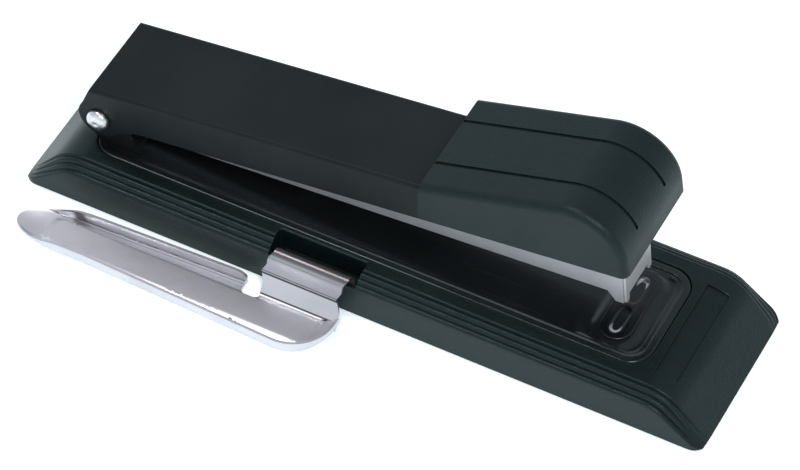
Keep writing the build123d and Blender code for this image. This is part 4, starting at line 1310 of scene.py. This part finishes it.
# the sheet grows upwards from its underside, so the open shell must face up
if sum(face.normal.z * face.area for face in tray_mesh.polygons) < 0:
    tray_mesh.flip_normals()
remover_plate = add_object("remover_plate", tray_mesh)
thicken = remover_plate.modifiers.new("sheet", "SOLIDIFY")
thicken.thickness = SHEET * MM
thicken.offset = 1.0
thicken.use_even_offset = True
plain_mesh(remover_plate)

# the flange stops short of the tab: a round-ended relief lets the sheet bend
RELIEF_X = (-29.6, -24.2)
RELIEF_Y = (-33.4, -20.0)
RELIEF_CORNER = 1.6
CUT_Z = (-2.0, 8.0)
relief_loop = rounded_rectangle(RELIEF_X[1] - RELIEF_X[0], RELIEF_Y[1] - RELIEF_Y[0], RELIEF_CORNER,
                                sum(RELIEF_X) / 2, sum(RELIEF_Y) / 2, 6)
carve(remover_plate, plan_loft("relief", [(relief_loop, z) for z in CUT_Z]))
FLANGE_ROUND = 3.2
FLANGE_ROUND_STEPS = 8
FLANGE_LOW = 1.6
FLANGE_OVERLAP = 0.4
FLANGE_CUT_Y = (-31.4, -26.0)
FLANGE_CUT_TOP = 7.0
corner = [(FLANGE_END_X - FLANGE_ROUND, FLANGE_CUT_TOP)]
for step in range(FLANGE_ROUND_STEPS + 1):
    angle = pi / 2 * step / FLANGE_ROUND_STEPS
    corner.append((FLANGE_END_X + FLANGE_OVERLAP - FLANGE_ROUND * (1 - sin(angle)),
                   FLANGE_LOW + (TRAY_DEPTH - FLANGE_LOW) * cos(angle)))
corner += [(RELIEF_X[1], FLANGE_LOW), (RELIEF_X[1], FLANGE_CUT_TOP)]
carve(remover_plate, loft("flange_corner", [[(x, y, z) for x, z in corner] for y in FLANGE_CUT_Y]))
# the tray's inner wall makes way for the root of the tab
ROOT_CUT = (26.0, 10.0)
ROOT_CUT_CORNER = 0.2
ROOT_CUT_MIDDLE = (-12.6, -26.2)
root_loop = rounded_rectangle(*ROOT_CUT, ROOT_CUT_CORNER, *ROOT_CUT_MIDDLE, 2)
carve(remover_plate, plan_loft("root", [(root_loop, z) for z in CUT_Z]))

# the tab: section across the sheet (y, z), and its left and right edges (x) at each point
TAB_FACE_Y = -26.65
TAB_TOP = 12.8
TAB_RADIUS = 2.0
TAB_BEND_STEPS = 8
TAB_FACE_LOW = 9.4
TAB_LOW = 8.6
TAB_ROOT = ((-33.0, 0.5), (-32.2, 0.46), (-31.6, 0.42), (-31.1, 0.62), (-30.5, 1.15), (-29.6, 2.05),
            (-28.6, 3.05), (-27.9, 3.75), (-27.4, 4.3), (-27.1, 4.75), (-26.95, 5.3), (-26.80, 5.9),
            (-26.64, 6.6), (-26.48, 7.4), (-26.36, 8.3))
TAB_EDGES = ((0.0, -24.2, -1.3), (0.16, -24.6, -1.9), (0.38, -26.1, -3.9), (0.56, -24.7, -2.6),
             (0.75, -23.2, -1.2), (1.0, -22.6, -0.8))


def tab_section():
    """Middle line of the tab's sheet: out of the floor, up the wall and over the lip."""
    line = list(TAB_ROOT)
    line.append((TAB_FACE_Y + SHEET / 2, TAB_FACE_LOW))
    bend = TAB_RADIUS - SHEET / 2
    middle_y, middle_z = TAB_FACE_Y + TAB_RADIUS, TAB_TOP - TAB_RADIUS
    for step in range(TAB_BEND_STEPS + 1):
        angle = pi - pi * step / TAB_BEND_STEPS
        line.append((middle_y + bend * cos(angle), middle_z + bend * sin(angle)))
    line.append((middle_y + bend, TAB_LOW + 1.0))
    line.append((middle_y + bend, TAB_LOW))
    return line


def tab_edge(share, column):
    for low, high in zip(TAB_EDGES, TAB_EDGES[1:]):
        if share <= high[0]:
            t = soft_step((share - low[0]) / (high[0] - low[0]))
            return low[column] + (high[column] - low[column]) * t
    return TAB_EDGES[-1][column]


TAB_COLUMNS = 16
section = tab_section()
tab_points = []
for side in (-1, 1):
    for row, (y, z) in enumerate(section):
        ahead = section[min(row + 1, len(section) - 1)]
        behind = section[max(row - 1, 0)]
        dy, dz = ahead[0] - behind[0], ahead[1] - behind[1]
        size = hypot(dy, dz)
        shift = SHEET / 2 * side
        share = row / (len(section) - 1)
        near, far = tab_edge(share, 1), tab_edge(share, 2)
        for column in range(TAB_COLUMNS + 1):
            x = near + (far - near) * column / TAB_COLUMNS
            tab_points.append((x, y - shift * dz / size, z + shift * dy / size))
row_size = TAB_COLUMNS + 1
side_size = row_size * len(section)
tab_faces = []
for row in range(len(section) - 1):
    for column in range(TAB_COLUMNS):
        a = row * row_size + column
        b = a + side_size
        tab_faces.append((a, a + 1, a + row_size + 1, a + row_size))
        tab_faces.append((b, b + row_size, b + row_size + 1, b + 1))
    for column in (0, TAB_COLUMNS):
        a = row * row_size + column
        tab_faces.append((a, a + row_size, a + row_size + side_size, a + side_size))
for row in (0, len(section) - 1):
    for column in range(TAB_COLUMNS):
        a = row * row_size + column
        tab_faces.append((a, a + 1, a + 1 + side_size, a + side_size))
carve(remover_plate, mesh_from("tab", tab_points, tab_faces), "UNION")
remover_nickel = nickel_plate("remover_nickel", gloss=0.30, metallic=0.9,
                              dull=(0.56, 0.55, 0.585), bright=(0.70, 0.69, 0.73))
# painted shade: a brown laid along creases and bends in place of shade and the dark base's reflection
PAINTED_SHADE_BROWN = (0.075, 0.062, 0.062, 1.0)


def paint_bend_shade(finish, strips):
    """Painted shade and painted dark reflection, laid as brown strips along the bends. A strip: axis, slope
    along x, middle, half width, limits, strength.
    """
    tree = finish.node_tree
    axes = object_axes(tree)
    total = None
    for axis, slope, middle, half, limits_x, limits_y, strength in strips:
        value = calc(tree, "MULTIPLY_ADD", axes["X"], slope, axes[axis])
        away = calc(tree, "ABSOLUTE", calc(tree, "SUBTRACT", value, middle * MM))
        share = spread(tree, away, strength, 0.0, half * 0.5 * MM, half * 1.5 * MM)
        for name, (low, high) in (("X", limits_x), ("Y", limits_y)):
            past = calc(tree, "GREATER_THAN", axes[name], low * MM)
            before = calc(tree, "LESS_THAN", axes[name], high * MM)
            share = calc(tree, "MULTIPLY", calc(tree, "MULTIPLY", share, past), before)
        total = share if total is None else calc(tree, "MAXIMUM", total, share)
    overlay(tree, total, PAINTED_SHADE_BROWN)


TAB_LIMITS = ((-27.0, 0.0), (-31.9, -20.0))
FLANGE_LIMITS = ((-88.0, -30.0), (-33.0, -27.0))
OUTER_LIMITS = ((-79.0, -15.0), (-46.0, -38.0))
INNER_SLOPE = -INNER_TAPER / (FLANGE_END_X - TRAY_REAR_X)
OUTER_SLOPE = OUTER_TAPER / (TRAY_FRONT_X - FRONT_RADIUS - TRAY_REAR_X)
# painted shade: strips along the tab's creases and the top of its bend, and along the flange and outer
# bends, darken them like shade and the dark base's reflection
paint_bend_shade(remover_nickel, (
    ("Z", 0.0, 5.0, 0.24, *TAB_LIMITS, 0.97),
    ("Z", 0.0, 5.75, 0.12, *TAB_LIMITS, 0.85),
    ("Z", 0.0, 1.15, 0.14, *TAB_LIMITS, 0.95),
    ("Z", 0.0, 13.2, 1.9, *TAB_LIMITS, 0.88),
    ("Y", INNER_SLOPE, -28.45, 0.16, *FLANGE_LIMITS, 0.9),
    ("Y", INNER_SLOPE, -29.35, 0.10, *FLANGE_LIMITS, 0.7),
    ("Y", OUTER_SLOPE, -43.95, 0.10, *OUTER_LIMITS, 0.7),
))
fit(remover_plate, "remover", "nickel_plate", remover_nickel, "staple_remover", angle=40)
